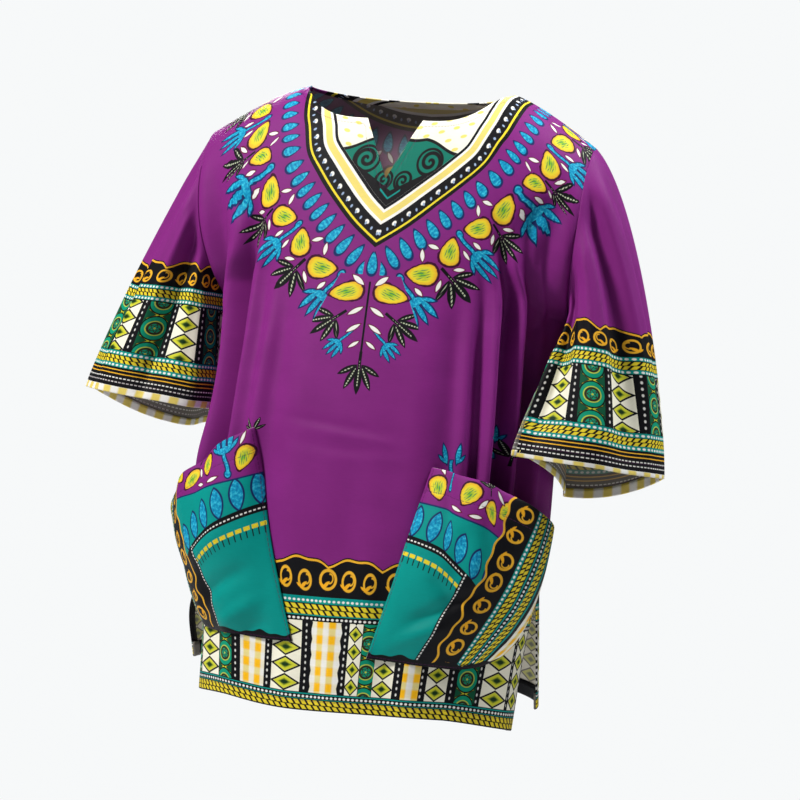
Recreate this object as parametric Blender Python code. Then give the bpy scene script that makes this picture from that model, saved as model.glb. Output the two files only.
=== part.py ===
"""Child's dashiki shirt in the hollow form that it has when it is worn.

Every cloth piece is a thin wall. The outer surface of the whole shirt is worked out
first, from the section tables below, as one welded surface, so that the pieces share
their normals where they are sewn together. Each piece is then cut out of it, given its
thickness on the inside, and drawn back a little from its seams.

Frame: metres, +Z up, the front faces -Y. The origin lies midway between the two points
where the neck edge meets the shoulder line, which is where the shirt is held up.
"""
import math

import bmesh
import bpy
from mathutils import Vector

MM = 0.001

# ---------------------------------------------------------------- driving sizes, in mm
WALL = 1.4                # thickness of the cloth walls
SEAM_PULL = 0.2           # how far each sewn edge draws back from the seam
WELD = 0.02               # points nearer than this are the same point of a seam
PATCH_GAP = 0.8           # clear distance between a pocket and the front that it lies on
SLEEVE_CLEAR = 8.0        # least distance between a sleeve and the side of the body
CLEAR_BELOW = 175.0       # flat depth from which the sleeves are kept clear of the body

BODY_LENGTH = 560.0       # flat length of the body, shoulder line to hem
BODY_HALF_WIDTH = 190.0   # flat, centre to side seam
NECK_HALF_WIDTH = 103.0   # centre to the point where the neck edge meets the shoulder
NECK_DROP_FRONT = 60.0    # flat depth of the front neck edge beside the notch
NECK_DROP_BACK = 26.0
NECK_SQUARENESS = (3.0, 1.5)
NOTCH_HALF_WIDTH = 27.0   # the cut V at the centre front
NOTCH_DEPTH = 56.0
ARMHOLE_DEPTH = 205.0     # flat, shoulder line to underarm
SLIT_TOP = 455.0          # flat, shoulder line to the top of the side slits
SHOULDER_ROUND = 1.25     # 1 is a straight shoulder slope, more rounds it over
SECTION_POWER = 2.2       # how square the sections are at their sides
EDGE_FADE = 0.93          # share of the half width from which folds fade to the seam

# Faces: rows down the side edge, and columns from the centre line outwards.
ARMHOLE_ROWS = 12
SIDE_ROWS = 10
SLIT_ROWS = 4
COLUMNS_NOTCH = 3
COLUMNS_NECK = 6
COLUMNS_SHOULDER = 9
SLEEVE_RINGS = 11
POCKET_STEPS = 11
CURVE_STEPS = 48          # points that a section curve is measured by
NORMAL_STEP = 2.0         # flat distance over which a normal is measured

# Sections through the body, one row for each flat distance below the shoulder line.
# v flat distance, z height, left and right half widths, mid the depth at the centre,
# side the depth at the side edge, drop how much lower the side edges hang, fall how
# much lower again the right one hangs, round the fullness of the section: 1 is a flat
# curve, 2.2 is nearly an ellipse. What is in SEAM_COLUMNS lies on the side seam too.
SECTION_COLUMNS = ("v", "z", "left", "right", "mid", "side", "drop", "fall", "round")
SEAM_COLUMNS = ("z", "left", "right", "side", "drop", "fall")
FRONT_SECTIONS = (
    (0, 0, 176, 163, 4, 4, 42, 0, 1.0),
    (30, -8, 178, 163, -24, -12, 41, 0, 1.1),
    (60, -31, 179, 162, -45, -25, 38, 0, 1.2),
    (95, -63, 178, 161, -57, -33, 36, 0, 1.35),
    (135, -102, 173, 158, -67, -33, 32, 0, 1.5),
    (175, -141, 165, 154, -75, -18, 27, 0, 1.8),
    (205, -170, 158, 151, -80, 6, 22, 0, 2.1),
    (260, -223, 151, 148, -88, 8, 10, 0, 2.3),
    (330, -292, 153, 147, -96, 8, 3, 0, 2.4),
    (395, -357, 165, 148, -99, 4, 0, 1, 2.3),
    (430, -392, 161, 147, -99, 2, 0, 3, 2.3),
    (455, -417, 153, 144, -98, 2, 0, 4, 2.3),
    (505, -464, 145, 139, -96, -6, 4, 6, 2.3),
    (560, -516, 142, 136, -95, -14, 8, 9, 2.2),
)
BACK_SECTIONS = (
    (0, 0, 176, 163, 4, 4, 42, 0, 1.0),
    (30, -8, 178, 163, 33, 22, 41, 0, 1.1),
    (60, -31, 179, 162, 54, 38, 38, 0, 1.2),
    (95, -63, 178, 161, 64, 48, 36, 0, 1.35),
    (135, -102, 173, 158, 70, 50, 32, 0, 1.5),
    (175, -141, 165, 154, 74, 34, 27, 0, 1.8),
    (205, -170, 158, 151, 76, 6, 22, 0, 2.1),
    (260, -223, 151, 148, 76, 8, 10, 0, 2.3),
    (330, -292, 153, 147, 74, 8, 3, 0, 2.4),
    (395, -357, 165, 148, 76, 4, 0, 1, 2.3),
    (430, -392, 161, 147, 78, 2, 0, 3, 2.3),
    (455, -417, 153, 144, 80, 2, 0, 4, 2.3),
    (505, -466, 163, 146, 84, 10, 0, 3, 2.3),
    (560, -520, 154, 147, 88, 20, 0, 2, 2.2),
)

# Long soft folds of the body. u and v are flat places: the fold runs from (u0, v0) to
# (u1, v1). out is how far its crest stands out (a valley is negative).
FOLD_COLUMNS = ("u0", "v0", "u1", "v1", "width", "out")
FRONT_FOLDS = (
    (-171, 90, -150, 330, 13, -11),
    (-150, 150, -132, 420, 13, 7),
    (-128, 190, -116, 400, 11, -5),
    (-96, 240, -92, 430, 14, 4),
    (-60, 330, -64, 520, 16, -3),
    (171, 90, 152, 330, 13, -12),
    (148, 150, 138, 400, 12, 8),
    (124, 150, 120, 400, 11, -7),
    (102, 190, 100, 430, 12, 5),
    (80, 220, 84, 440, 11, -4),
    (22, 420, 18, 560, 18, 3),
    (-30, 440, -24, 560, 16, -3),
    (70, 480, 76, 560, 15, 3),
    (-96, 470, -104, 560, 16, 3),
)
BACK_FOLDS = (
    (-168, 90, -146, 340, 14, -11),
    (-140, 150, -124, 400, 14, 7),
    (-104, 170, -92, 470, 16, -6),
    (-56, 150, -52, 540, 20, 5),
    (4, 170, 0, 560, 20, -6),
    (58, 150, 52, 540, 18, 6),
    (100, 170, 92, 460, 16, -6),
    (140, 150, 126, 420, 14, 7),
    (168, 90, 148, 330, 14, -11),
)

# Cuffs. x, y, z the middle of the opening, wide and deep its half sizes, tilt the slope
# of its width in degrees (positive: the outer corner is higher), turned how far in
# degrees its inner corner swings to the front, back how much lower the back edge hangs
# than the front one, leave how far the sleeve spreads where it leaves the armhole.
CUFFS = {
    "left": dict(side=-1, x=-221, y=10, z=-283, wide=67, deep=48, tilt=5, turned=4,
                 back=22, leave=0.55),
    "right": dict(side=1, x=174, y=-14, z=-309, wide=74, deep=45, tilt=-4, turned=24,
                  back=28, leave=1.05),
}
SLEEVE_LEAVE = 0.6        # how far the cloth keeps the direction that it leaves with
SLEEVE_ARRIVE = 0.6       # and the direction of the arm before the cuff
UNDERARM_LEAVE = 0.35     # spread at the underarm, as a share of that at the shoulder
CUFF_POINT = 1.25         # above 1 the cuff is a leaf shape, 1 is an ellipse
CUFF_DROOP = 1.3          # above 1 the back edge droops in the middle
# Folds along a sleeve: turn is the place round the tube (0 top, 0.25 front, 0.5
# underarm, 0.75 back), start and end its stretch from armhole (0) to cuff (1).
SLEEVE_FOLD_COLUMNS = ("turn", "start", "end", "width", "out")
SLEEVE_FOLDS = {
    "left": (
        (0.10, -0.2, 0.9, 0.035, -4),
        (0.19, -0.2, 1.1, 0.04, 5),
        (0.29, -0.3, 0.9, 0.035, -7),
        (0.37, 0.0, 1.2, 0.035, 5),
        (0.66, 0.0, 1.2, 0.04, -6),
        (0.76, -0.2, 1.1, 0.04, 5),
        (0.87, -0.2, 0.9, 0.04, -5),
    ),
    "right": (
        (0.09, -0.2, 0.8, 0.035, 4),
        (0.17, -0.2, 1.0, 0.035, -7),
        (0.25, -0.2, 1.1, 0.035, 6),
        (0.33, -0.3, 0.8, 0.03, -8),
        (0.40, 0.1, 1.2, 0.035, 5),
        (0.65, 0.0, 1.2, 0.04, -6),
        (0.75, -0.2, 1.1, 0.04, 5),
        (0.88, -0.2, 0.9, 0.04, -5),
    ),
}

# Patch pockets, by their corners in flat (u, v) on the front. mouth is how far the top
# edge stands off the front, belly the same half way down, dip how much the top edge
# sags, free how far its outer end stands off, round the share of each side that the
# rounding of the outer low corner takes.
POCKETS = {
    "left": dict(inner_top=(-80, 338), outer_top=(-186, 424), inner_low=(-38, 502),
                 outer_low=(-172, 508), mouth=20, belly=12, dip=0, free=14, round=0.4),
    "right": dict(inner_top=(66, 358), outer_top=(180, 402), inner_low=(30, 512),
                  outer_low=(166, 520), mouth=26, belly=17, dip=-8, free=4, round=0.5),
}
MOUTH_FULLNESS = 0.7      # below 1 the pocket bulges more squarely across
BELLY_FULLNESS = 0.8      # and down
FREE_FROM = 0.6           # share across a pocket from which its outer end stands free
STAND_SIDEWAYS = 0.35     # how far sideways a pocket bulges, as a share of forwards

CLOTHS = {  # colour, roughness
    "purple": ((0.24, 0.035, 0.20), 0.75),
    "band": ((0.30, 0.33, 0.12), 0.75),
    "teal": ((0.0, 0.26, 0.20), 0.75),
}
CLOTH_OF = {"front": "purple", "back": "purple", "sleeve": "band", "pocket": "teal"}


# ---------------------------------------------------------------- curves and tables
def spline(table, columns, name, at):
    """A smooth value of one column of a table, between its rows.

    What lies on the side seam is smooth by itself between the underarm and the top of the
    slit, so that the front and the back run along the same seam.
    """
    if name in SEAM_COLUMNS:
        if at <= ARMHOLE_DEPTH:
            table = [row for row in table if row[0] <= ARMHOLE_DEPTH]
        elif at <= SLIT_TOP:
            table = [row for row in table if ARMHOLE_DEPTH <= row[0] <= SLIT_TOP]
        else:
            table = [row for row in table if row[0] >= SLIT_TOP]
    key = [row[0] for row in table]
    value = [row[columns.index(name)] for row in table]
    at = min(max(at, key[0]), key[-1])
    i = max(n for n in range(len(key) - 1) if key[n] <= at)

    def slope(n):
        low, high = max(n - 1, 0), min(n + 1, len(key) - 1)
        return (value[high] - value[low]) / (key[high] - key[low])

    span = key[i + 1] - key[i]
    t = (at - key[i]) / span
    return (
        (2 * t**3 - 3 * t**2 + 1) * value[i]
        + (t**3 - 2 * t**2 + t) * span * slope(i)
        + (3 * t**2 - 2 * t**3) * value[i + 1]
        + (t**3 - t**2) * span * slope(i + 1)
    )


def half_wave(share):
    """0 at both ends and 1 in the middle."""
    return math.sin(math.pi * share) if 0 < share < 1 else 0.0


def smooth_step(low, high, at):
    t = min(max((at - low) / (high - low), 0.0), 1.0)
    return t * t * (3 - 2 * t)


def fold_height(folds, u, v):
    """How far the folds push the cloth out at a flat place."""
    height = 0.0
    for row in folds:
        fold = dict(zip(FOLD_COLUMNS, row))
        along = (v - fold["v0"]) / (fold["v1"] - fold["v0"])
        middle = fold["u0"] + (fold["u1"] - fold["u0"]) * min(max(along, 0.0), 1.0)
        reach = smooth_step(-0.15, 0.3, along) * (1 - smooth_step(0.75, 1.15, along))
        height += fold["out"] * reach * math.exp(-(((u - middle) / fold["width"]) ** 2))
    return height


# ---------------------------------------------------------------- body
def section_curve(section, half_width):
    """Half of a section as (x, y) points from the centre line to the side edge."""
    points = []
    for n in range(CURVE_STEPS + 1):
        out = math.sin(math.pi / 2 * n / CURVE_STEPS)
        fullness = max(1 - out**SECTION_POWER, 0.0) ** (1 / section["round"])
        depth = section["side"] + (section["mid"] - section["side"]) * fullness
        points.append((half_width * out, depth))
    return points


def along_curve(points, share):
    """The point at a share of a curve's length."""
    lengths = [math.dist(a, b) for a, b in zip(points, points[1:])]
    left = share * sum(lengths)
    for a, b, length in zip(points, points[1:], lengths):
        if left <= length or b is points[-1]:
            break
        left -= length
    t = min(left / length, 1.0)
    return [p + (q - p) * t for p, q in zip(a, b)]


def body_point(sections, folds, u, v):
    """The outer surface of the front or back at a flat place."""
    section = {name: spline(sections, SECTION_COLUMNS, name, v) for name in SECTION_COLUMNS}
    side = "left" if u < 0 else "right"
    share = abs(u) / BODY_HALF_WIDTH
    x, y = along_curve(section_curve(section, section[side]), share)
    x = math.copysign(x, u)
    deep = abs(section["mid"] - section["side"]) + 1.0
    outward = Vector((x / section[side] ** 2, (y - section["side"]) / deep**2, 0))
    outward = outward.normalized() if outward.length else Vector((0, 0, 0))
    edge_fade = 1 - smooth_step(EDGE_FADE, 1.0, share)
    neck = NECK_HALF_WIDTH / BODY_HALF_WIDTH
    slope = max((share - neck) / (1 - neck), 0.0) ** SHOULDER_ROUND
    fall = section["drop"] * slope + section["fall"] * (1 + u / BODY_HALF_WIDTH) / 2
    place = Vector((x, y, section["z"] - fall))
    return place + outward * fold_height(folds, u, v) * edge_fade


def column_places():
    """Flat distances of the columns of vertices, from the left side edge to the right.

    They crowd together where the neck edge climbs steeply to the shoulder line.
    """
    half = [NOTCH_HALF_WIDTH * n / COLUMNS_NOTCH for n in range(COLUMNS_NOTCH)]
    neck = NECK_HALF_WIDTH - NOTCH_HALF_WIDTH
    half += [
        NOTCH_HALF_WIDTH + neck * math.sin(math.pi / 2 * n / COLUMNS_NECK)
        for n in range(COLUMNS_NECK)
    ]
    rest = BODY_HALF_WIDTH - NECK_HALF_WIDTH
    half += [NECK_HALF_WIDTH + rest * n / COLUMNS_SHOULDER for n in range(COLUMNS_SHOULDER + 1)]
    return [-u for u in reversed(half[1:])] + half


def top_edge(u, drop, notched):
    """Flat depth of the neck edge below the shoulder line, 0 beyond the neck."""
    u = abs(u)
    if u >= NECK_HALF_WIDTH:
        return 0.0
    if notched and u < NOTCH_HALF_WIDTH:
        return drop + NOTCH_DEPTH * (1 - u / NOTCH_HALF_WIDTH)
    flat = NOTCH_HALF_WIDTH if notched else 0.0
    across = (u - flat) / (NECK_HALF_WIDTH - flat)
    rise, flatness = NECK_SQUARENESS
    return drop * (1 - across**rise) ** (1 / flatness)


def row_places():
    """Flat distances of the rows of vertices at the side edge."""
    rows = [ARMHOLE_DEPTH * n / ARMHOLE_ROWS for n in range(ARMHOLE_ROWS)]
    rows += [
        ARMHOLE_DEPTH + (SLIT_TOP - ARMHOLE_DEPTH) * n / SIDE_ROWS for n in range(SIDE_ROWS)
    ]
    rows += [SLIT_TOP + (BODY_LENGTH - SLIT_TOP) * n / SLIT_ROWS for n in range(SLIT_ROWS + 1)]
    return rows


def body_grid(sections, folds, drop, notched):
    """Columns of points, each from the shoulder line or neck edge down to the hem."""
    grid = []
    for u in column_places():
        top = top_edge(u, drop, notched)
        column = []
        for v in row_places():
            # The rows follow the neck edge and are level again at the underarm.
            reach = max(1 - v / ARMHOLE_DEPTH, 0.0) ** 0.8
            column.append(body_point(sections, folds, u, v + top * reach))
        grid.append(column)
    return grid


def clear_of_body(place, gap):
    """Moves a point straight out from the body's axis until it is clear of the body."""
    sections = FRONT_SECTIONS if place.y < 0 else BACK_SECTIONS
    side = "left" if place.x < 0 else "right"
    if place.z > spline(sections, SECTION_COLUMNS, "z", CLEAR_BELOW):
        return place
    above = max(n for n, row in enumerate(sections[:-1]) if row[1] >= place.z)
    high, low = sections[above], sections[above + 1]
    v = high[0] + (low[0] - high[0]) * (high[1] - place.z) / (high[1] - low[1])
    names = (side, "mid", "side", "round")
    section = {name: spline(sections, SECTION_COLUMNS, name, v) for name in names}
    x, y = place.x, place.y - section["side"]
    half, deep = section[side] + gap, abs(section["mid"] - section["side"]) + gap
    fullness = (abs(y) / deep) ** section["round"] + (abs(x) / half) ** SECTION_POWER
    if fullness >= 1:
        return place
    grow = fullness ** (-1 / SECTION_POWER)
    return Vector((x * grow, section["side"] + y * grow, place.z))


# ---------------------------------------------------------------- sleeves
def cuff_edge(cuff, turn):
    """A point of the cuff's edge, at an angle round it from the outer corner."""
    side, tilt, turned = cuff["side"], math.radians(cuff["tilt"]), math.radians(cuff["turned"])
    across = Vector((side * math.cos(turned), math.sin(turned), math.tan(tilt)))
    forward = Vector((side * math.sin(turned), -math.cos(turned), 0))
    depth = math.copysign(abs(math.sin(turn)) ** CUFF_POINT, math.sin(turn))
    place = Vector((cuff["x"], cuff["y"], cuff["z"]))
    place += across * cuff["wide"] * math.cos(turn) + forward * cuff["deep"] * depth
    place.z -= cuff["back"] * max(-depth, 0.0) ** CUFF_DROOP
    return place


def sleeve_grid(cuff, armhole, folds):
    """Rings of points from the armhole, which starts at the shoulder, to the cuff."""
    count = len(armhole)
    steps = [(armhole[n] - armhole[n - 1]).length for n in range(count)]
    middle = sum(armhole, Vector()) / count
    centre = Vector((cuff["x"], cuff["y"], cuff["z"]))
    axis = (centre - middle).normalized()
    top, low = armhole[0].z, armhole[count // 2].z
    rings = [[] for _ in range(SLEEVE_RINGS + 1)]
    for n, start in enumerate(armhole):
        turn = sum(steps[1 : n + 1]) / sum(steps)
        end = cuff_edge(cuff, 2 * math.pi * turn)
        height = (start.z - low) / (top - low)
        spread = cuff["leave"] * (UNDERARM_LEAVE + (1 - UNDERARM_LEAVE) * height)
        reach = (end - start).length
        leave = Vector((cuff["side"] * spread, 0, -1)).normalized() * reach * SLEEVE_LEAVE
        arrive = axis * reach * SLEEVE_ARRIVE
        for k, ring in enumerate(rings):
            t = k / SLEEVE_RINGS
            place = (
                (2 * t**3 - 3 * t**2 + 1) * start
                + (t**3 - 2 * t**2 + t) * leave
                + (3 * t**2 - 2 * t**3) * end
                + (t**3 - t**2) * arrive
            )
            outward = place - middle.lerp(centre, t)
            outward -= axis * outward.dot(axis)
            push = sleeve_fold(folds, turn, t) * smooth_step(0.0, 0.18, t)
            place += outward.normalized() * push
            if k:
                place = clear_of_body(place, WALL + SLEEVE_CLEAR * smooth_step(0.0, 0.3, t))
            ring.append(place)
    return [ring + ring[:1] for ring in rings]


def sleeve_fold(folds, turn, t):
    height = 0.0
    for row in folds:
        fold = dict(zip(SLEEVE_FOLD_COLUMNS, row))
        off = (turn - fold["turn"] + 0.5) % 1 - 0.5
        reach = smooth_step(fold["start"], fold["start"] + 0.35, t)
        reach *= 1 - smooth_step(fold["end"] - 0.3, fold["end"] + 0.15, t)
        height += fold["out"] * reach * math.exp(-((off / fold["width"]) ** 2))
    return height


# ---------------------------------------------------------------- pockets
def pocket_place(pocket, across, down):
    """The flat place of a point that lies at a share across and down a pocket."""
    size = pocket["round"]
    a, d = (across - 1) / size + 1, (down - 1) / size + 1
    if a > 0 and d > 0:
        across = 1 + (a * math.sqrt(1 - d * d / 2) - 1) * size
        down = 1 + (d * math.sqrt(1 - a * a / 2) - 1) * size
    u, v = (
        (1 - down) * ((1 - across) * a + across * b) + down * ((1 - across) * c + across * d)
        for a, b, c, d in zip(
            pocket["inner_top"], pocket["outer_top"], pocket["inner_low"], pocket["outer_low"]
        )
    )
    return u, v + pocket["dip"] * math.sin(math.pi * across) * (1 - down)


def front_point_and_normal(u, v):
    """A point of the front's outer surface, and the direction that faces out from it."""
    place = body_point(FRONT_SECTIONS, FRONT_FOLDS, u, v)
    inward_u = u - math.copysign(NORMAL_STEP, u)
    beside = body_point(FRONT_SECTIONS, FRONT_FOLDS, inward_u, v) - place
    below = body_point(FRONT_SECTIONS, FRONT_FOLDS, u, v + NORMAL_STEP) - place
    normal = beside.cross(below).normalized()
    outward = Vector((place.x, -BODY_HALF_WIDTH, 0))
    return place, normal if normal.dot(outward) > 0 else -normal


def pocket_grid(pocket):
    """Points of a pocket's inner side, rows from its mouth down, standing off the front."""
    grid = []
    for i in range(POCKET_STEPS + 1):
        across = i / POCKET_STEPS
        row = []
        for j in range(POCKET_STEPS + 1):
            down = j / POCKET_STEPS
            u, v = pocket_place(pocket, across, down)
            place, normal = front_point_and_normal(u, v)
            hold = half_wave(across) ** MOUTH_FULLNESS
            height = pocket["mouth"] * (1 - down)
            height += pocket["belly"] * half_wave(down) ** BELLY_FULLNESS
            height *= hold
            height += pocket["free"] * (1 - down) ** 3 * smooth_step(FREE_FROM, 1.0, across)
            stand = Vector((math.copysign(STAND_SIDEWAYS, u), -1, 0)).normalized()
            stand = (normal * (1 - hold) + stand * hold).normalized()
            row.append(place + normal * PATCH_GAP + stand * height)
        grid.append(row)
    return grid


# ---------------------------------------------------------------- walls
class Surface:
    """The outer surface of the shirt: grids of faces that are welded where they are sewn."""

    def __init__(self):
        self.mesh = bmesh.new()
        self.piece = self.mesh.faces.layers.int.new("piece")
        self.pieces = []
        self.grown_outwards = set()

    def add_grid(self, piece, grid, flip=False, is_inner=False):
        """Adds a piece. is_inner says that the points are the inner side of its wall."""
        if is_inner:
            self.grown_outwards.add(piece)
        rows, columns = len(grid) - 1, len(grid[0]) - 1
        flat = bmesh.ops.create_grid(self.mesh, x_segments=rows, y_segments=columns, size=1.0)
        self.pieces.append(piece)
        faces = {face for vert in flat["verts"] for face in vert.link_faces}
        for face in faces:
            face[self.piece] = len(self.pieces)
            if flip:
                face.normal_flip()
        for vert in flat["verts"]:
            row = round((vert.co.x + 1) / 2 * rows)
            column = round((vert.co.y + 1) / 2 * columns)
            vert.co = grid[row][column]

    def weld(self):
        bmesh.ops.remove_doubles(self.mesh, verts=self.mesh.verts[:], dist=WELD)
        self.mesh.normal_update()
        self.mesh.verts.index_update()

    def seam_pulls(self, faces):
        """For each sewn vertex of a piece, the move that draws it back from its seams."""
        pulls = {}
        for face in faces:
            for edge in face.edges:
                if all(other in faces for other in edge.link_faces):
                    continue
                low, high = (vert.co for vert in edge.verts)
                run = (high - low).normalized()
                inward = face.calc_center_median() - (low + high) / 2
                inward = (inward - run * inward.dot(run)).normalized()
                for vert in edge.verts:
                    pulls.setdefault(vert, []).append(inward)
        moves = {}
        for vert, directions in pulls.items():
            mean = sum(directions, Vector()) / len(directions)
            moves[vert] = mean * (SEAM_PULL / max(mean.length_squared, 0.2))
        return moves

    def wall(self, piece, material, collection):
        """Cuts one piece out of the surface and gives it its thickness."""
        number = self.pieces.index(piece) + 1
        faces = {face for face in self.mesh.faces if face[self.piece] == number}
        moves = self.seam_pulls(faces)
        shape = bmesh.new()
        out, back = (WALL, 0.0) if piece in self.grown_outwards else (0.0, WALL)
        outer, inner = {}, {}
        for vert in sorted({v for face in faces for v in face.verts}, key=lambda v: v.index):
            place = vert.co + moves.get(vert, Vector())
            outer[vert] = shape.verts.new((place + vert.normal * out) * MM)
            inner[vert] = shape.verts.new((place - vert.normal * back) * MM)
        for face in sorted(faces, key=lambda face: face.index):
            shape.faces.new([outer[v] for v in face.verts])
            shape.faces.new([inner[v] for v in reversed(face.verts)])
            for loop in face.loops:
                if any(f in faces and f is not face for f in loop.edge.link_faces):
                    continue
                # Both sides of a seam split their edge faces along the same line.
                a, b = loop.vert, loop.link_loop_next.vert
                far, near = (b, a) if a.index < b.index else (a, b)
                shape.faces.new([outer[b], outer[a], inner[near]])
                shape.faces.new([outer[far], inner[a], inner[b]])
        mesh = bpy.data.meshes.new(piece)
        shape.to_mesh(mesh)
        shape.free()
        mesh.shade_smooth()
        mesh.set_sharp_from_angle(angle=math.radians(60))
        mesh.materials.append(material)
        collection.objects.link(bpy.data.objects.new(piece, mesh))


def cloth(name):
    colour, roughness = CLOTHS[name]
    material = bpy.data.materials.new(name)
    material.use_nodes = True
    shader = material.node_tree.nodes["Principled BSDF"]
    shader.inputs["Base Color"].default_value = (*colour, 1)
    shader.inputs["Roughness"].default_value = roughness
    shader.inputs["Metallic"].default_value = 0.0
    return material


def clear_scene():
    for item in list(bpy.data.objects):
        bpy.data.objects.remove(item)


def main():
    clear_scene()
    shirt = bpy.data.collections.new("dashiki_shirt")
    bpy.context.scene.collection.children.link(shirt)
    cloths = {name: cloth(name) for name in CLOTHS}

    shell = Surface()
    front = body_grid(FRONT_SECTIONS, FRONT_FOLDS, NECK_DROP_FRONT, notched=True)
    back = body_grid(BACK_SECTIONS, BACK_FOLDS, NECK_DROP_BACK, notched=False)
    shell.add_grid("front", front, flip=True)
    shell.add_grid("back", back)
    for name, cuff in CUFFS.items():
        side = 0 if cuff["side"] < 0 else -1
        armhole = front[side][: ARMHOLE_ROWS + 1] + back[side][ARMHOLE_ROWS - 1 : 0 : -1]
        rings = sleeve_grid(cuff, armhole, SLEEVE_FOLDS[name])
        shell.add_grid("sleeve_" + name, rings, flip=cuff["side"] > 0)
    for name, pocket in POCKETS.items():
        shell.add_grid(
            "pocket_" + name, pocket_grid(pocket), flip=name == "right", is_inner=True
        )
    shell.weld()
    for piece in shell.pieces:
        shell.wall(piece, cloths[CLOTH_OF[piece.split("_")[0]]], shirt)


main()
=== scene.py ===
import functools
import math

import bpy
import numpy as np
from mathutils import Matrix, Vector


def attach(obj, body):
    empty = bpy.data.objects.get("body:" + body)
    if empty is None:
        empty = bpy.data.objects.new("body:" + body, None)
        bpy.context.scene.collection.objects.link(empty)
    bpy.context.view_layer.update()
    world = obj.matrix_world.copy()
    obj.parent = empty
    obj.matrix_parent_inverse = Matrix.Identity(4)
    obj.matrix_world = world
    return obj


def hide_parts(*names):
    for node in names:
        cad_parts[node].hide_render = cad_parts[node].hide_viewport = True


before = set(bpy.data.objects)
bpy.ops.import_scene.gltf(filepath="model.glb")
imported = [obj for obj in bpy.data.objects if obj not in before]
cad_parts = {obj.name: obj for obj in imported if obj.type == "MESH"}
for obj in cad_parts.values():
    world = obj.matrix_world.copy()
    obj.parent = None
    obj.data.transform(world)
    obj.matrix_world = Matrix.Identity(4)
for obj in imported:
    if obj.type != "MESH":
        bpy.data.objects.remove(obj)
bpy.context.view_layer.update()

mm = 0.001

# Everything that is sewn is worked out in millimetres. u is the flat distance from the
# centre line, positive on the wearer's left, and v the flat distance below the shoulder.
bodyShape = {
    "length": 560, "halfWidth": 190, "neckHalfWidth": 103, "neckSquareness": (3.0, 1.5),
    "notchHalfWidth": 27, "notchDepth": 56, "armholeDepth": 205, "slitTop": 455,
    "shoulderRound": 1.25, "sectionPower": 2.2, "edgeFade": 0.93, "seamBend": (0.55, 0.97),
    "neckDropFront": 60, "neckDropBack": 26,
    "pitch": 2.5, "columns": (11, 38, 36),  # size of a face; faces across the notch, neck and shoulder
    "arcSteps": 72, "clearBelow": 175, "sleeveClear": 8, "wall": 1.4,
}
sectionColumns = ("v", "z", "left", "right", "mid", "side", "drop", "fall", "round")
seamColumns = ("z", "left", "right", "side", "drop", "fall")
frontSections = np.array([
    (0, 0, 176, 163, 4, 4, 42, 0, 1.0),
    (30, -8, 178, 163, -24, -12, 41, 0, 1.1),
    (60, -31, 179, 162, -45, -25, 38, 0, 1.2),
    (95, -63, 178, 161, -57, -33, 36, 0, 1.35),
    (135, -102, 173, 158, -67, -33, 32, 0, 1.5),
    (175, -141, 165, 154, -75, -18, 27, 0, 1.8),
    (205, -170, 158, 151, -80, 6, 22, 0, 2.1),
    (260, -223, 151, 148, -88, 8, 10, 0, 2.3),
    (330, -292, 153, 147, -96, 8, 3, 0, 2.4),
    (395, -357, 165, 148, -99, 4, 0, 1, 2.3),
    (430, -392, 161, 147, -99, 2, 0, 3, 2.3),
    (455, -417, 153, 144, -98, 2, 0, 4, 2.3),
    (505, -464, 145, 139, -96, -6, 4, 6, 2.3),
    (560, -516, 142, 136, -95, -14, 8, 9, 2.2),
])
backSections = np.array([
    (0, 0, 176, 163, 4, 4, 42, 0, 1.0),
    (30, -8, 178, 163, 33, 22, 41, 0, 1.1),
    (60, -31, 179, 162, 54, 38, 38, 0, 1.2),
    (95, -63, 178, 161, 64, 48, 36, 0, 1.35),
    (135, -102, 173, 158, 70, 50, 32, 0, 1.5),
    (175, -141, 165, 154, 74, 34, 27, 0, 1.8),
    (205, -170, 158, 151, 76, 6, 22, 0, 2.1),
    (260, -223, 151, 148, 76, 8, 10, 0, 2.3),
    (330, -292, 153, 147, 74, 8, 3, 0, 2.4),
    (395, -357, 165, 148, 76, 4, 0, 1, 2.3),
    (430, -392, 161, 147, 78, 2, 0, 3, 2.3),
    (455, -417, 153, 144, 80, 2, 0, 4, 2.3),
    (505, -459, 171, 146, 84, 10, 3, 5, 2.3),
    (560, -500, 168, 148, 88, 20, 8, 11, 2.2),
])
# Folds: from (u0, v0) to (u1, v1), how wide, how far the crest stands out.
frontFolds = [
    (-171, 90, -150, 330, 13, -11), (-150, 150, -132, 420, 13, 7),
    (-128, 190, -116, 400, 11, -5), (-96, 240, -92, 430, 14, 4),
    (-60, 330, -64, 520, 16, -3), (171, 90, 152, 330, 13, -12),
    (148, 150, 138, 400, 12, 8), (124, 150, 120, 400, 11, -7),
    (102, 190, 100, 430, 12, 5), (80, 220, 84, 440, 11, -4),
    (22, 420, 18, 560, 18, 3), (-30, 440, -24, 560, 16, -3),
    (70, 480, 76, 560, 15, 3), (-96, 470, -104, 560, 16, 3),
]
backFolds = [
    (-168, 90, -146, 340, 14, -11), (-140, 150, -124, 400, 14, 7),
    (-104, 170, -92, 470, 16, -6), (-56, 150, -52, 540, 20, 5),
    (4, 170, 0, 560, 20, -6), (58, 150, 52, 540, 18, 6),
    (100, 170, 92, 460, 16, -6), (140, 150, 126, 420, 14, 7),
    (168, 90, 148, 330, 14, -11),
]
# The lower front hangs a little lower than straight: how much at each side and in the bulge.
frontSag = {"low": 360, "lowAtSide": 455, "sideFrom": 0.75, "high": 500, "left": 6.5, "right": 2.8,
            "across": (-20, 130), "bulge": 3.6, "bulgeAt": -50, "bulgeWidth": 52}
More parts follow.
